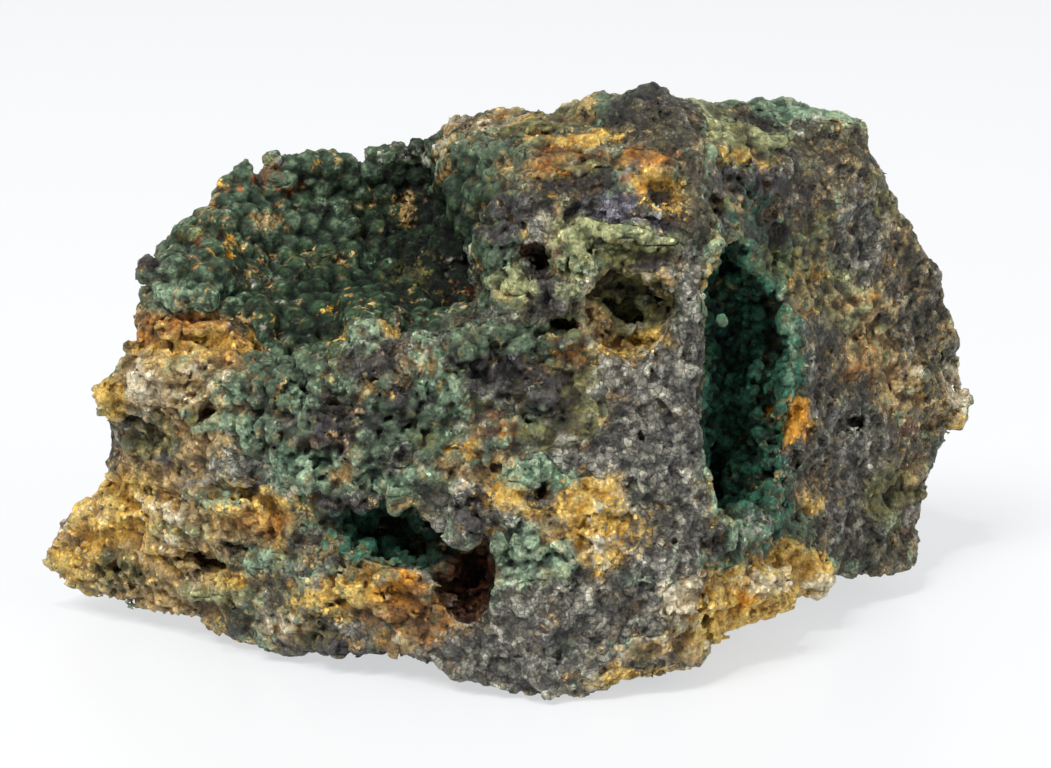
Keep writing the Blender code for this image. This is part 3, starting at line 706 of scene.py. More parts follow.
def grains(points, size, seed):
    """The grain that each point lies in: distance to its middle and to the next, offset, and table index."""
    q = points.astype(np.float32) @ TURN.T / size + np.float32(seed * GRAIN_SHIFT)
    cell = np.floor(q - 0.5).astype(np.int32)
    nearest = np.full(len(q), 9.0, np.float32)
    second = nearest.copy()
    offset = np.zeros_like(q)
    owner = np.zeros(len(q), np.int32)
    for corner in CUBE:
        here = cell + corner
        index = table_index(here)
        away = q - here - JITTER[index]
        distance = (away * away).sum(1)
        closer = distance < nearest
        second = np.where(closer, nearest, np.minimum(second, distance))
        nearest = np.where(closer, distance, nearest)
        offset[closer] = away[closer]
        owner[closer] = index[closer]
    return np.sqrt(nearest), np.sqrt(second), offset, owner


def spread(work, *arrays):
    """Do the work on slices of the arrays, several at a time, and join the results."""
    starts = range(0, max(len(arrays[0]), 1), SLICE)
    with ThreadPoolExecutor(4) as pool:
        parts = pool.map(lambda start: work(*[each[start:start + SLICE] for each in arrays]), starts)
        return np.concatenate(list(parts))


def facet(offset, owner):
    """A plane through each grain, tilted its own way."""
    return (offset * TILT[owner]).sum(1).clip(-1, 1)


def ease(values, low, high):
    """0 below low, 1 above high, and smooth between them."""
    t = np.clip((values - low) / (high - low), 0, 1)
    return t * t * (3 - 2 * t)


# ---- Places in the photograph -------------------------------------------------------------------------
def sight_line(across, down):
    """The direction from the eye to a place in the photograph."""
    right = (across - PHOTO_WIDTH / 2) / FOCAL_PIXELS
    up = (PHOTO_HEIGHT / 2 - down) / FOCAL_PIXELS
    line = SIGHT + right * VIEW_RIGHT + up * VIEW_UP
    return line / np.linalg.norm(line)


def on_block(tree, across, down):
    """Where a place in the photograph is on the block, and how many millimetres a pixel spans there."""
    line = sight_line(across, down)
    hit = tree.ray_cast(Vector(EYE), Vector(line))[0]
    if hit is None:
        steps = [EYE + line * (VIEW_DISTANCE + back) for back in range(-30, 40, 3)]
        hit = min((tree.find_nearest(Vector(step)) for step in steps), key=lambda found: found[3])[0]
    place = np.array(hit)
    return place, np.dot(place - EYE, SIGHT) / FOCAL_PIXELS


def turned_axes(turn):
    """The picture's right and up, turned by that many degrees to the left, and the line of sight, as rows."""
    c, s = math.cos(math.radians(turn)), math.sin(math.radians(turn))
    return np.array([c * VIEW_RIGHT + s * VIEW_UP, c * VIEW_UP - s * VIEW_RIGHT, SIGHT])


# ---- Minerals over the block --------------------------------------------------------------------------
def lay_patches(tree):
    """Every patch as (mineral's number, middle, three half axes as rows, strength), in millimetres."""
    laid = []
    for mineral, across, down, half_across, half_down, strength in PATCHES.values():
        middle, span = on_block(tree, across, down)
        wide, tall = half_across * span, half_down * span
        deep = max(PATCH_DEPTH, (wide + tall) / 2)
        axes = np.array([VIEW_RIGHT / wide, VIEW_UP / tall, SIGHT / deep])
        laid.append((NAMES.index(mineral), middle, axes, strength))
    for mineral, middle, half_sizes, strength in HIDDEN_PATCHES.values():
        axes = np.diag(1 / np.array(half_sizes))
        laid.append((NAMES.index(mineral), np.array(middle, float), axes, strength))
    return laid


def patch_scores(points, laid):
    """How strongly each mineral's patches claim each point."""
    bent = points
    for far, size, seed in PATCH_BENDS:
        bent = bent + far * swells(points, size, seed)
    scores = np.full((len(points), len(NAMES)), LEAST_SCORE, np.float32)
    for name, level in COMMON.items():
        mineral = NAMES.index(name)
        cloud = ease(swell(bent, CLOUD_SIZE, CLOUD_SEED + mineral), *CLOUD_EDGE)
        scores[:, mineral] = level * (0.6 + 1.8 * cloud)
    for mineral, middle, axes, strength in laid:
        reach = PATCH_REACH / np.linalg.norm(axes, axis=1).min()
        close = np.flatnonzero((np.abs(bent - middle) < reach).all(1))
        ratio = ((bent[close] - middle) @ axes.T)
        claim = strength * np.exp(-PATCH_FALL * (ratio * ratio).sum(1))
        scores[close, mineral] = np.maximum(scores[close, mineral], claim)
    return scores


class KindMap:
    """How much of each kind of mineral there is through the block, kept on a coarse grid."""

    def __init__(self, low, high, laid):
        self.low = low.astype(np.float32)
        self.size = np.ceil((high - low) / MAP_STEP).astype(int) + 1
        places = np.stack(np.meshgrid(*[np.arange(n) for n in self.size], indexing="ij"), -1)
        places = (places.reshape(-1, 3) * MAP_STEP + low).astype(np.float32)
        scores = spread(lambda some: patch_scores(some, laid), places) ** KIND_CONTRAST
        shares = [scores[:, [NAMES.index(name) for name in names]].sum(1) for names in KINDS.values()]
        shares = np.stack(shares, 1)
        shares = (shares / shares.sum(1, keepdims=True)).astype(np.float32)
        self.shares = shares.reshape(*self.size, len(KINDS))

    def at(self, points):
        """The share of each kind at the points, in the order of KINDS."""
        q = np.clip((points - self.low) / np.float32(MAP_STEP), 0, self.size.astype(np.float32) - 1.01)
        cell = q.astype(int)
        part = (q - cell).astype(np.float32)
        total = np.zeros((len(points), len(KINDS)), np.float32)
        for corner, share in cell_corners(part):
            total += share[:, None] * self.shares[tuple((cell + corner).T)]
        return total


# ---- Distance fields ----------------------------------------------------------------------------------
class Field:
    """A distance field on a box of a grid, negative inside, in millimetres."""

    def __init__(self, corners, triangles, step, low, high):
        self.step = step
        self.first = np.floor(low / step).astype(int)
        self.values = np.empty(np.ceil(high / step).astype(int) - self.first + 1, np.float32)
        grid = vdb.FloatGrid.createLevelSetFromPolygons(
            corners, triangles=triangles, transform=vdb.createLinearTransform(voxelSize=step),
            halfWidth=BAND / step)
        grid.copyToArray(self.values, ijk=tuple(int(i) for i in self.first))
        for axis in range(3):
            v = np.moveaxis(self.values, axis, 0)
            v[1:-1] = 0.25 * v[:-2] + 0.5 * v[1:-1] + 0.25 * v[2:]

    def copy(self, values):
        """A field on the same grid with other values."""
        other = object.__new__(Field)
        other.step, other.first, other.values = self.step, self.first, values
        return other

    def near(self, distance):
        """The flat index of every grid point within that distance of the surface."""
        return np.flatnonzero(np.abs(self.values.ravel()) < distance)

    def places(self, index):
        """The positions of grid points, given their flat index."""
        cell = np.stack(np.unravel_index(index, self.values.shape), 1)
        return ((cell + self.first) * self.step).astype(np.float32)

    def at(self, points):
        """The value at the grid point nearest each place."""
        cell = np.rint(points / self.step).astype(int) - self.first
        return self.values[tuple(cell.T)]

    def normals(self, index):
        """The outward direction of the surface near grid points, given their flat index."""
        cell = np.unravel_index(index, self.values.shape)
        slope = np.empty((len(index), 3), np.float32)
        for axis in range(3):
            ahead, behind = list(cell), list(cell)
            ahead[axis] = np.minimum(cell[axis] + 2, self.values.shape[axis] - 1)
            behind[axis] = np.maximum(cell[axis] - 2, 0)
            slope[:, axis] = self.values[tuple(ahead)] - self.values[tuple(behind)]
        return slope / (np.linalg.norm(slope, axis=1, keepdims=True) + 1e-6)

    def window(self, middle, reach):
        """The part of the grid within reach of a place, as slices, and its points' offsets from there."""
        low = np.floor((middle - reach) / self.step).astype(int) - self.first
        high = np.ceil((middle + reach) / self.step).astype(int) - self.first + 1
        low, high = np.maximum(low, 0), np.minimum(high, self.values.shape)
        sides = [(np.arange(a, b) + f) * self.step - m for a, b, f, m in zip(low, high, self.first, middle)]
        return tuple(slice(a, b) for a, b in zip(low, high)), sides

    def join(self, window, shape, blend):
        """Add a shape's distances to a part of the grid, with a fillet of that size where they meet."""
        old = self.values[window]
        mix = np.clip(0.5 + 0.5 * (old - shape) / blend, 0, 1)
        self.values[window] = old + (shape - old) * mix - blend * mix * (1 - mix)

    def add_ball(self, middle, radius, blend):
        """Join a ball."""
        window, (x, y, z) = self.window(middle, radius + blend + 2 * self.step)
        squares = (x ** 2)[:, None, None] + (y ** 2)[None, :, None] + (z ** 2)[None, None, :]
        if squares.size:
            self.join(window, np.sqrt(squares).astype(np.float32) - radius, blend)

    def add_cone(self, foot, tip, radius):
        """Join a cone."""
        axis = tip - foot
        height = np.linalg.norm(axis)
        axis = axis / height
        window, sides = self.window(foot, height + radius)
        grid = np.stack(np.meshgrid(*sides, indexing="ij"), -1)
        along = grid @ axis
        aside = np.linalg.norm(grid - along[..., None] * axis, axis=-1)
        cone = 0.85 * (aside - radius * np.clip(1 - along / height, 0, 1) ** 0.8)
        cone = np.maximum(np.maximum(cone, along - height), -along - radius)
        self.join(window, cone.astype(np.float32), TIP_FILLET)

    def blob(self, middle, axes, half_sizes, roughness):
        """A part of the grid, and the distances there from an uneven ellipsoid."""
        reach = np.linalg.norm(axes * half_sizes[:, None], axis=0)
        window, sides = self.window(middle, 1.2 * reach + 0.9)
        grid = np.stack(np.meshgrid(*sides, indexing="ij"), -1)
        flat = grid.reshape(-1, 3)
        bent = flat
        for share, size, seed in BLOB_BENDS:
            bent = bent + share * roughness * swells(flat + middle, size, seed)
        ratio = np.linalg.norm(bent @ axes.T / half_sizes, axis=1)
        return window, ((ratio - 1) * half_sizes.min()).reshape(grid.shape[:3]).astype(np.float32)


def add_lumps(field, tree):
    """Join the lumps that stand out of the block."""
    for across, down, half_across, half_down, turn, out in LUMPS.values():
        place, span = on_block(tree, across, down)
        wide, tall = half_across * span, half_down * span
        deep = max(LUMP_LEAST_DEPTH, min(wide, tall))
        middle = place + (deep - out) * SIGHT
        window, shape = field.blob(middle, turned_axes(turn), np.array([wide, tall, deep]), LUMP_ROUGHNESS)
        field.join(window, shape, LUMP_FILLET)


def dig_holes(field, tree):
    """Take the holes out of the block."""
    for across, down, half_across, half_down, turn, depth in HOLES.values():
        place, span = on_block(tree, across, down)
        half_sizes = np.array([half_across * span, half_down * span, depth])
        window, shape = field.blob(place, turned_axes(turn), half_sizes, HOLE_ROUGHNESS)
        field.values[window] = np.maximum(field.values[window], -shape)


# ---- Relief, in millimetres outwards --------------------------------------------------------------------
def in_zone(points, name):
    """1 inside a zone and 0 outside it, with a soft edge."""
    middle, half_sizes, _ = ZONES[name]
    ratio = (((points - np.array(middle)) / np.array(half_sizes)) ** 2).sum(1)
    return 1 - ease(ratio, *ZONE_EDGE)


def crust_lumps(points):
    """Nodules crowded together, with clefts between them."""
    near, far, _, owner = grains(points + 0.3 * swells(points, 1.1, 30), *GRAINS["nodules"])
    dome = HEIGHTS["nodules"] * (0.50 - near) * (0.5 + LOT[owner, 0])
    cleft = -HEIGHTS["nodule_clefts"] * (1 - ease(far - near, 0.0, 0.16))
    return (dome + cleft) * (1 - 0.75 * np.maximum(in_zone(points, "bowl"), in_zone(points, "ledge")))


def quartz_lumps(points):
    """Broken beds and blocks."""
    beds = HEIGHTS["beds"] * swell(points * [0.45, 0.8, 1.7] + [0, 0, 0.3], 2.2, 24)
    near, far, offset, owner = grains(points * [0.8, 1.0, 1.25], *GRAINS["blocks"])
    cleft = HEIGHTS["block_clefts"] * (1 - ease(far - near, 0.0, 0.12))
    return beds + HEIGHTS["blocks"] * facet(offset, owner) - cleft


def ore_lumps(points):
    """A broad, flat fracture with a few steps."""
    _, _, offset, owner = grains(points, *GRAINS["fracture"])
    return HEIGHTS["fracture"] * facet(offset, owner) + HEIGHTS["fracture_steps"] * (LOT[owner, 0] - 0.5)


def crust_grit(points):
    """Small round grains."""
    near, _, offset, owner = grains(points, *GRAINS["knobs"])
    knob = HEIGHTS["knobs"] * (0.55 - near) * (0.2 + 1.3 * LOT[owner, 0])
    knob = knob + HEIGHTS["knob_facets"] * facet(offset, owner)
    near, _, offset, owner = grains(points, *GRAINS["small_knobs"])
    crystal = HEIGHTS["small_knobs"] * (0.5 - near) + HEIGHTS["small_knob_facets"] * facet(offset, owner)
    return (knob + crystal) * (1 - 0.85 * in_zone(points, "bowl")) * (1 - 0.65 * in_zone(points, "ledge"))


def quartz_grit(points):
    """Sugary crystals, with pores between them."""
    near, _, offset, owner = grains(points * [1.15, 1.0, 0.9], *GRAINS["sugar"])
    crystal = HEIGHTS["sugar_facets"] * facet(offset, owner) + HEIGHTS["sugar"] * (0.55 - near)
    pore = -HEIGHTS["pores"] * (LOT[owner, 1] > 0.975) * ease(0.55 - near, 0.0, 0.2)
    near, _, offset, owner = grains(points, *GRAINS["fine_sugar"])
    fine_facets = HEIGHTS["fine_sugar_facets"] * facet(offset, owner)
    return crystal + pore + fine_facets + HEIGHTS["fine_sugar"] * (0.55 - near)


def ore_grit(points):
    """Small cleaved blocks: flat facets that tilt every way, with cracks between them."""
    near, far, offset, owner = grains(points, *GRAINS["cleavage"])
    block = HEIGHTS["cleavage"] * facet(offset, owner) + HEIGHTS["cleavage_steps"] * (LOT[owner, 0] - 0.5)
    crack = -HEIGHTS["cracks"] * (1 - ease(far - near, 0.0, 0.07))
    pit = -HEIGHTS["pits"] * (LOT[owner, 1] > 0.98) * ease(0.5 - near, 0.0, 0.2)
    near, far, offset, owner = grains(points, *GRAINS["fine_cleavage"])
    fine_steps = HEIGHTS["fine_cleavage_steps"] * (LOT[owner, 0] - 0.5)
    return block + crack + pit + HEIGHTS["fine_cleavage"] * facet(offset, owner) + fine_steps


LARGE_RELIEFS = (crust_lumps, quartz_lumps, ore_lumps)
SMALL_RELIEFS = (crust_grit, quartz_grit, ore_grit)


def mixed(reliefs, points, share):
    """The reliefs of the three kinds, each by its share."""
    height = np.zeros(len(points), np.float32)
    for column, relief in enumerate(reliefs):
        there = np.flatnonzero(share[:, column] > LEAST_SHARE)
        height[there] += share[there, column] * relief(points[there])
    return height


def large_relief(points, share):
    """All the relief that is two millimetres wide or more."""
    broad = 0.40 * swell(points, 4.6, 41)
    round_bumps = 0.25 * swell(points, 2.1, 42) + 0.20 * swell(points, 1.2, 43)
    return broad + (1 - ORE_FLATNESS * share[:, ORE]) * round_bumps + mixed(LARGE_RELIEFS, points, share)


def small_relief(points, share):
    """All the relief that is finer."""
    return mixed(SMALL_RELIEFS, points, share)


def dressed(points, normals, margin=0.0):
    """1 where the surface is dressed finely, 0 where the rock's own coarser relief shows."""
    share = ease(normals @ -SIGHT.astype(np.float32) + margin, *DRESSED_EDGE)
    return np.maximum.reduce([share] + [in_zone(points, name) for name in ZONES])


def bent_over(height, most):
    """The height, bent over smoothly so that it stays below the most."""
    return np.where(height > 0, most * np.tanh(height / most), height)


def sow_balls(field, kinds):
    """Middles and radii of the balls of the crust, spread over the surface where the crust grows."""
    chance = np.random.default_rng(BALL_SEED)
    index = field.near(0.5 * field.step)
    index = chance.choice(index, min(BALL_TRIES, len(index)), replace=False)
    normals = field.normals(index)
    points = field.places(index) - field.values.ravel()[index, None] * normals
    smallest = np.full(len(points), OPEN_BALLS[0])
    largest = np.full(len(points), OPEN_BALLS[1])
    for name, (_, _, sizes) in ZONES.items():
        inside = in_zone(points, name) > 0.5
        smallest[inside], largest[inside] = sizes
    share = kinds.at(points)[:, CRUST]
    grows = (share > 0.30 + 0.6 * chance.random(len(points))) & (dressed(points, normals) > 0.5)
    points, normals, smallest, largest = (each[grows] for each in (points, normals, smallest, largest))
    radii = smallest + (largest - smallest) * chance.random(len(points)) ** BALL_BIAS
    taken, kept = {}, []
    for index in np.argsort(-radii, kind="stable"):
        cell = tuple(np.floor(points[index] / BALL_CELL).astype(int))
        around = [other for step in product((-1, 0, 1), repeat=3)
                  for other in taken.get(tuple(np.add(cell, step)), ())]
        gaps = np.linalg.norm(points[around] - points[index], axis=1) if around else np.array([99.0])
        if (gaps > BALL_SPACING * (radii[around] + radii[index] if around else 1.0)).all():
            taken.setdefault(cell, []).append(index)
            kept.append(index)
    return points[kept] - BALL_ROOT * radii[kept, None] * normals[kept], radii[kept]


# ---- From fields to meshes ----------------------------------------------------------------------------
def stand_on_floor(values, step, first):
    """Cut a field off flat at the surface that the block stands on."""
    heights = (np.arange(values.shape[2]) + first[2]) * step
    np.maximum(values, -heights.astype(np.float32), out=values)


def polygons(field):
    """The surface of a field as corners, in millimetres, and triangles."""
    values = np.clip(field.values, -BAND, BAND)
    for axis in range(3):
        side = np.moveaxis(values, axis, 0)
        side[0] = side[-1] = BAND
    grid = vdb.FloatGrid(BAND)
    grid.transform = vdb.createLinearTransform(voxelSize=field.step)
    grid.gridClass = vdb.GridClass.LEVEL_SET
    grid.copyFromArray(values, ijk=tuple(int(i) for i in field.first), tolerance=0.001)
    corners, triangles, quads = grid.convertToPolygons(isovalue=0.0, adaptivity=0.0)
    quads = quads.astype(np.int64)
    halves = [quads[:, [0, 1, 2]], quads[:, [0, 2, 3]]]
    triangles = np.concatenate([triangles.astype(np.int64).reshape(-1, 3)] + halves)
    a, b, c = (corners[triangles[:, i]] for i in range(3))
    if (a * np.cross(b, c)).sum() < 0:
        triangles = triangles[:, ::-1]
    return corners, triangles


def drop_crumbs(corners, triangles, only_largest):
    """Leave out the loose bits of a mesh: all but the largest body, or only the crumbs."""
    ends = triangles[:, [0, 1, 1, 2]].reshape(-1, 2)
    root = np.arange(len(corners))
    while True:
        pair = root[ends]
        low, high = pair.min(1), pair.max(1)
        apart = low != high
        if not apart.any():
            break
        np.minimum.at(root, high[apart], low[apart])
        while (root[root] != root).any():
            root = root[root]
    counts = np.bincount(root, minlength=len(corners))
    smallest = counts.max() if only_largest else CRUMB
    kept = counts[root] >= smallest
    renumber = np.cumsum(kept) - 1
    return corners[kept], renumber[triangles[kept[triangles[:, 0]]]]


def make_piece(name, field, base=None):
    """A mesh object from a field, without what is buried under the base, and with few enough triangles."""
    corners, triangles = polygons(field)
    if base is not None:
        buried = base.at(corners) < -BURIED
        triangles = triangles[~buried[triangles].all(1)]
    corners, triangles = drop_crumbs(corners, triangles, base is None)
    mesh = bpy.data.meshes.new(name)
    mesh.vertices.add(len(corners))
    mesh.vertices.foreach_set("co", (corners * MM).astype(np.float32).ravel())
    mesh.loops.add(triangles.size)
    mesh.loops.foreach_set("vertex_index", triangles.astype(np.int32).ravel())
    mesh.polygons.add(len(triangles))
    mesh.polygons.foreach_set("loop_start", np.arange(0, triangles.size, 3, dtype=np.int32))
    mesh.update(calc_edges=True)
    piece = bpy.data.objects.new(name, mesh)
    bpy.context.scene.collection.objects.link(piece)
    if len(triangles) > MOST_TRIANGLES:
        modifier = piece.modifiers.new("thin", "DECIMATE")
        modifier.ratio = MOST_TRIANGLES / len(triangles)
        graph = bpy.context.evaluated_depsgraph_get()
        thinned = bpy.data.meshes.new_from_object(piece.evaluated_get(graph))
        piece.modifiers.clear()
        piece.data = thinned
    if name not in FACETED:
        piece.data.shade_smooth()
    return piece


# ---- Paint --------------------------------------------------------------------------------------------
def tones(position):
    """The darker or the lighter tone of every mineral, as linear red, green and blue."""
    codes = [MINERALS[name][position] for name in NAMES]
    parts = np.array([[int(code[i:i + 2], 16) / 255 for i in (1, 3, 5)] for code in codes])
    return np.where(parts <= 0.04045, parts / 12.92, ((parts + 0.055) / 1.055) ** 2.4).astype(np.float32)


class Links:
    """The edges of a mesh, to average over each corner's neighbours."""

    def __init__(self, mesh):
        ends = np.empty(len(mesh.edges) * 2, np.int32)
        mesh.edges.foreach_get("vertices", ends)
        self.ends = ends.reshape(-1, 2)
        self.total = len(mesh.vertices)
        self.count = np.maximum(np.bincount(ends, minlength=self.total), 1)

    def mean(self, values):
        """The mean over each corner's neighbours."""
        one, two = self.ends[:, 0], self.ends[:, 1]
        columns = [np.bincount(one, column[two], self.total) + np.bincount(two, column[one], self.total)
                   for column in values.T]
        return np.stack(columns, 1) / self.count[:, None]


def draw_minerals(scores, grip, coarse, fine, seed):
    """Pick a mineral for each corner by lot, grain by grain, weighted by the claims of the patches."""
    lots = grip * np.log(scores)
    for mineral in range(len(NAMES)):
        for owner, weight in ((coarse, COARSE_WEIGHT), (fine, FINE_WEIGHT)):
            lot = LATTICE[(owner + LOT_STRIDE * mineral + SET_STRIDE * seed) % TABLE ** 3].clip(0.001, 0.999)
            lots[:, mineral] -= weight * np.log(-np.log(lot))
    return lots.argmax(1)


def corners_and_normals(mesh):
    """The corners of a mesh, in millimetres, and their normals."""
    read = []
    for name in ("co", "normal"):
        values = np.empty(len(mesh.vertices) * 3, np.float32)
        mesh.vertices.foreach_get(name, values)
        read.append(values.reshape(-1, 3))
    return read[0] / MM, read[1]


def standing_out(links, corners, normals):
    """How far each corner stands out of its near and of its wider surroundings, in millimetres."""
    level, heights = corners, []
    for rounds, most in SMOOTHINGS:
        for _ in range(rounds):
            level = links.mean(level)
        heights.append(((corners - level) * normals).sum(1).clip(-most, most))
    return heights


def lightness(corners, coarse, fine, crisp, broad, wear_and_shade):
    """Where each corner is between its mineral's darker tone, at 0, and its lighter one, at 1."""
    much, size, seed = CLOUD_TONES
    # The last term is partly wear and dirt and partly painted light and shade: lighter where a corner stands
    # out, darker in hollows.
    tone = (MIDDLE_TONE + COARSE_TONES * (LOT[coarse, 2] - 0.5) + FINE_TONES * (LOT[fine, 3] - 0.5)
            + much * swell(corners, size, seed) + wear_and_shade * (BROAD_TONES * broad + CRISP_TONES * crisp))
    return np.clip(tone, 0, 1)[:, None]


def paint(piece, laid):
    """Give each corner of a piece two minerals' colours, to be mixed finely, and a gloss."""
    mesh = piece.data
    corners, normals = corners_and_normals(mesh)
    links = Links(mesh)
    crisp, broad = standing_out(links, corners, normals)
    far, size, seed = GRAIN_BENDS
    coarse = grains(corners + far * swells(corners, size, seed), *COARSE_GRAIN)[3]
    fine = grains(corners, *FINE_GRAIN)[3]
    scores = spread(lambda some: patch_scores(some, laid), corners)
    on_top = np.exp(CRUST_ON_TOP * (broad + crisp))
    scores[:, [NAMES.index(name) for name in KINDS["crust"]]] *= on_top[:, None]
    dark, light = tones(0), tones(1)
    tone = lightness(corners, coarse, fine, crisp, broad, ORE_WEAR_AND_SHADE if piece.name == "ore" else 1.0)
    # painted shade: the colour is made darker at the bottom of hollows, where shade falls
    shade = 1 - HOLLOW_SHADE * ease(-broad, *HOLLOW_DEPTHS)
    for seed, (name, grip) in enumerate(PATCH_GRIPS.items()):
        chosen = draw_minerals(scores, grip, coarse, fine, seed)
        colour = dark[chosen] ** (1 - tone) * light[chosen] ** tone * shade[:, None]
        colour = 0.5 * colour + 0.5 * links.mean(colour)
        tint = np.ones((len(corners), 4), np.float32)
        tint[:, :3] = colour
        mesh.color_attributes.new(name, "FLOAT_COLOR", "POINT").data.foreach_set("color", tint.ravel())
    roughness = np.array([MINERALS[name][2] for name in NAMES], np.float32)[chosen]
    gloss = np.clip(roughness + GLOSS_VARIES * (LOT[fine, 0] - 0.5), *GLOSS_RANGE)
    mesh.attributes.new("gloss", "FLOAT", "POINT").data.foreach_set("value", gloss)


# ---- Materials ----------------------------------------------------------------------------------------
def node(tree, kind, entries, **settings):
    """Add a node, give each of its entries an output to follow or a value, and return its own outputs."""
    made = tree.nodes.new("ShaderNode" + kind)
    for name, value in settings.items():
        setattr(made, name, value)
    for entry, given in entries.items():
        if isinstance(given, bpy.types.NodeSocket):
            tree.links.new(given, made.inputs[entry])
        else:
            made.inputs[entry].default_value = given
    return made.outputs


def cells(tree, places, per_mm, **settings):
    """Random cells, with a colour each."""
    return node(tree, "TexVoronoi", {"Vector": places, "Scale": per_mm}, **settings)


def noise(tree, places, per_mm, detail, roughness):
    """Smooth random values around a half."""
    entries = {"Vector": places, "Scale": per_mm, "Detail": detail, "Roughness": roughness}
    return node(tree, "TexNoise", entries)["Fac"]


def painted(tree, name):
    """What is painted on the corners under that name."""
    return node(tree, "Attribute", {}, attribute_name=name)


def remap(tree, value, before, after):
    """Stretch values from one range to another."""
    ends = {"From Min": before[0], "From Max": before[1], "To Min": after[0], "To Max": after[1]}
    return node(tree, "MapRange", {**ends, "Value": value})["Result"]


def multiply_add(tree, value, factor, added):
    """The value times a number, plus another value."""
    return node(tree, "Math", {0: value, 1: factor, 2: added}, operation="MULTIPLY_ADD")["Value"]


def lean(tree, direction, colours, amount):
    """Lean a direction its own way in each cell, as the faces of crystals do."""
    centred = node(tree, "VectorMath", {0: colours, 1: (0.5, 0.5, 0.5)}, operation="SUBTRACT")["Vector"]
    entries = {0: centred, 1: (amount, amount, amount), 2: direction}
    return node(tree, "VectorMath", entries, operation="MULTIPLY_ADD")["Vector"]


def picked_colour(tree, places, lots):
    """One or the other of the two painted colours, in crisp grains."""
    grainy = multiply_add(tree, lots["Green"], 0.35, noise(tree, places, BLOTCHES_PER_MM, 2.0, 0.6))
    entries = {"Factor": remap(tree, grainy, PICK_EDGE, (0.0, 1.0))}
    entries["A"] = painted(tree, "tint")["Color"]
    entries["B"] = painted(tree, "tint_two")["Color"]
    return node(tree, "Mix", entries, data_type="RGBA")["Result"]


def grain_shade(tree, places, lots, blocks, speck, block_shades, cracks):
    """How much lighter or darker the colour is by speck, crystal and block, and in the cracks."""
    specks = noise(tree, places, SPECKS_PER_MM, 6.0, 0.8)
    block_lots = node(tree, "SeparateColor", {"Color": blocks})
    edges = cells(tree, places, BLOCKS_PER_MM, feature="DISTANCE_TO_EDGE")["Distance"]
    crystal_shades, speck_shades = 1.1 * speck, 0.7 * speck
    shade = remap(tree, specks, (0.35, 0.65), (1 - speck_shades, 1 + speck_shades))
    for factor in (
            remap(tree, lots["Red"], (0.0, 1.0), (1 - crystal_shades, 1 + crystal_shades)),
            remap(tree, block_lots["Red"], (0.0, 1.0), (1 - block_shades, 1 + block_shades)),
            remap(tree, lots["Blue"], FLECK_EDGE, (1.0, FLECK_SHADE)),
            remap(tree, edges, (0.0, CRACK_WIDTH), (1 - cracks, 1.0))):
        shade = node(tree, "Math", {0: shade, 1: factor}, operation="MULTIPLY")["Value"]
    return shade


def crystal_faces(tree, places, crystals, blocks, facets, block_shades, bump):
    """Which way each small face of the stone is turned, with grit on it."""
    facing = lean(tree, node(tree, "NewGeometry", {})["Normal"], crystals, facets)
    facing = lean(tree, facing, blocks, 1.6 * block_shades)
    facing = node(tree, "VectorMath", {0: facing}, operation="NORMALIZE")["Vector"]
    knobs = cells(tree, places, KNOBS_PER_MM)["Distance"]
    height = multiply_add(tree, knobs, -0.6, noise(tree, places, GRIT_PER_MM, 5.0, 0.75))
    entries = {"Strength": bump, "Distance": GRIT_DEPTH * MM, "Height": height, "Normal": facing}
    return node(tree, "Bump", entries)["Normal"]


def mineral_material(name, speck, block_shades, facets, cracks, bump, specular):
    """Grainy stone: its corners' colours, broken up finely, with small crystal faces that glint."""
    material = bpy.data.materials.new(name)
    material.use_nodes = True
    tree = material.node_tree
    places = node(tree, "TexCoord", {})["Object"]
    places = node(tree, "Mapping", {"Vector": places, "Scale": (1 / MM, 1 / MM, 1 / MM)})["Vector"]
    crystals = cells(tree, places, CRYSTALS_PER_MM)["Color"]
    blocks = cells(tree, places, BLOCKS_PER_MM)["Color"]
    lots = node(tree, "SeparateColor", {"Color": crystals})

    shade = grain_shade(tree, places, lots, blocks, speck, block_shades, cracks)
    entries = {"Vector": picked_colour(tree, places, lots), "Scale": shade}
    colour = node(tree, "VectorMath", entries, operation="SCALE")["Vector"]
    entries = {0: painted(tree, "gloss")["Fac"], 1: remap(tree, lots["Green"], (0.0, 1.0), POLISH)}
    roughness = node(tree, "Math", entries, operation="MULTIPLY", use_clamp=True)["Value"]
    facing = crystal_faces(tree, places, crystals, blocks, facets, block_shades, bump)

    shader = tree.nodes["Principled BSDF"]
    shader.inputs["Specular IOR Level"].default_value = specular
    tree.links.new(colour, shader.inputs["Base Color"])
    tree.links.new(roughness, shader.inputs["Roughness"])
    tree.links.new(facing, shader.inputs["Normal"])
    return material


# ---- The pieces ---------------------------------------------------------------------------------------
def shaped_block(solid, step, low, high, tree, kinds):
    """The field of the block with its lumps, holes and larger relief."""
    field = Field(*solid, step, low, high)
    add_lumps(field, tree)
    dig_holes(field, tree)
    near = field.near(REACHES["large"])
    places = spread(field.places, near)
    if step == FINE:
        wanted = spread(lambda some: dressed(field.places(some), field.normals(some), FRINGE), near) > 0
        near, places = near[wanted], places[wanted]
    height = spread(lambda some: large_relief(some, kinds.at(some)), places)
    field.values.ravel()[near] -= bent_over(height, MOST_OUT)
    return field


def build_rock(solid, low, high, tree, kinds):
    """The block itself, with its own small relief wherever no finer dressing covers it."""
    field = shaped_block(solid, COARSE, low, high, tree, kinds)
    near = field.near(REACHES["rock"])
    places = field.places(near)
    fine = dressed(places, field.normals(near))
    height = spread(lambda some: small_relief(some, kinds.at(some)), places)
    field.values.ravel()[near] -= (1 - fine) * height - ROCK_SINK * fine
    stand_on_floor(field.values, COARSE, field.first)
    return make_piece("rock", field)


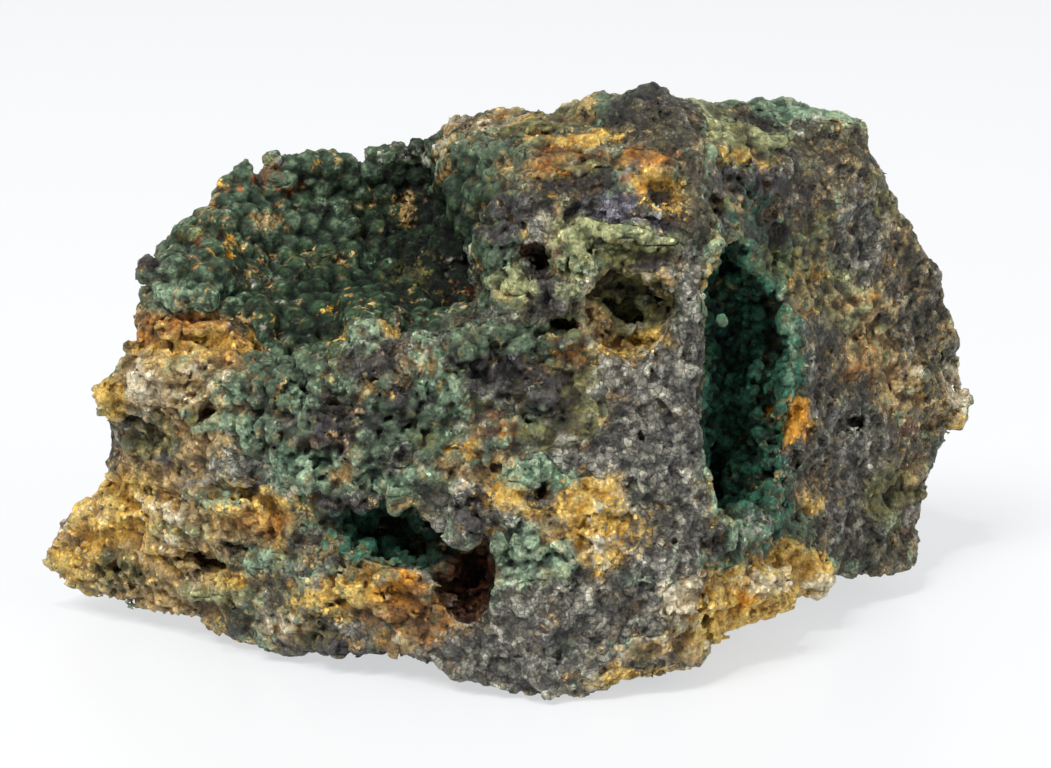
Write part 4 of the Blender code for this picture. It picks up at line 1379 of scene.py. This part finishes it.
def build_dressing(solid, low, high, tree, kinds):
    """The crust, quartz and ore that show in front: shells rooted in the rock, one for each kind and zone."""
    base = shaped_block(solid, FINE, low, high, tree, kinds)
    balls = sow_balls(base, kinds)
    for middle, radius in zip(*balls):
        base.add_ball(middle, radius, BALL_FILLET)
    for across, down, tall, radius in TIPS.values():
        foot = on_block(tree, across, down)[0]
        base.add_cone(foot, foot + tall * VIEW_UP, radius)
    near = base.near(REACHES["small"])
    cover = spread(lambda some: dressed(base.places(some), base.normals(some)), near)
    near, cover = near[cover > LEAST_COVER], cover[cover > LEAST_COVER]
    places = spread(base.places, near)
    share = spread(kinds.at, places)
    height = bent_over(spread(small_relief, places, share), MOST_SMALL_OUT)
    far, size, seed = OWN_BENDS
    share += spread(lambda some: far * swells(some, size, seed), places)
    bowl = in_zone(places, "bowl")
    parts = {
        "bowl_crust": (CRUST, bowl),
        "green_crust": (CRUST, 1 - bowl),
        "quartz": (QUARTZ, 1.0),
        "ore": (ORE, 1.0),
    }
    pieces = {}
    for name, (column, part) in parts.items():
        rivals = np.delete(share, column, 1).max(1)
        own = ease(share[:, column] - rivals, *OWN_EDGE) * cover * ease(part, *BOWL_EDGE)
        top = base.copy(base.values + SINK)
        top.values.ravel()[near] += SINK * -own - height
        np.maximum(top.values, -(base.values + SKIN), out=top.values)
        stand_on_floor(top.values, FINE, top.first)
        pieces[name] = make_piece(name, top, base)
    return pieces


# ---- The stage ----------------------------------------------------------------------------------------
def set_entries(shader, values):
    """Set a shader node's own values."""
    for entry, value in values.items():
        shader.inputs[entry].default_value = value


def build_stage():
    """A plain pale floor, soft light from all round and above, and the photograph's camera."""
    scene = bpy.context.scene
    scene.view_settings.view_transform = "Standard"
    mesh = bpy.data.meshes.new("floor")
    ends = [(FLOOR_HALF * x, FLOOR_HALF * y, 0) for x, y in ((-1, -1), (1, -1), (1, 1), (-1, 1))]
    mesh.from_pydata(ends, [], [(0, 1, 2, 3)])
    floor = bpy.data.objects.new("floor", mesh)
    scene.collection.objects.link(floor)
    material = bpy.data.materials.new("floor")
    material.use_nodes = True
    set_entries(material.node_tree.nodes["Principled BSDF"], FLOOR)
    mesh.materials.append(material)
    floor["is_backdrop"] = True

    world = bpy.data.worlds.new("studio")
    world.use_nodes = True
    set_entries(world.node_tree.nodes["Background"], SKY)
    scene.world = world
    for name, (place, size, watts) in LAMPS.items():
        light = bpy.data.lights.new(name, "AREA")
        light.shape = "DISK"
        light.size = size
        light.energy = watts
        light.color = LAMP_COLOUR
        lamp = bpy.data.objects.new(name, light)
        lamp.location = place
        lamp.rotation_euler = (Vector(LAMP_AIM) - Vector(place)).to_track_quat("-Z", "Y").to_euler()
        scene.collection.objects.link(lamp)

    camera = bpy.data.cameras.new("camera")
    camera.lens = LENS
    camera.sensor_width = SENSOR
    camera.clip_start = 0.01
    eye = bpy.data.objects.new("camera", camera)
    eye.location = Vector(EYE * MM)
    eye.rotation_euler = (math.radians(90) - VIEW_ELEVATION, 0, 0)
    scene.collection.objects.link(eye)
    scene.camera = eye


def main():
    """Build the pieces round the CAD solid, then the stage."""
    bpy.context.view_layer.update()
    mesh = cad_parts["specimen"].data
    mesh.calc_loop_triangles()
    corners = np.array([v.co for v in mesh.vertices], np.float32) / MM
    triangles = np.array([t.vertices for t in mesh.loop_triangles], np.int32)
    tree = BVHTree.FromPolygons(corners.tolist(), triangles.tolist())
    low, high = corners.min(0) - MARGIN, corners.max(0) + MARGIN

    laid = lay_patches(tree)
    kinds = KindMap(low, high, laid)
    rock = build_rock((corners, triangles), low, high, tree, kinds)
    dressing = build_dressing((corners, triangles), low, high, tree, kinds)
    for name, piece in {"rock": rock, **dressing}.items():
        paint(piece, laid)
        surface, slot = LOOKS[name]
        piece.data.materials.append(mineral_material(surface, *SURFACES[surface]))
        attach(piece, "root")
    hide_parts("specimen")
    build_stage()
    low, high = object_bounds()


main()
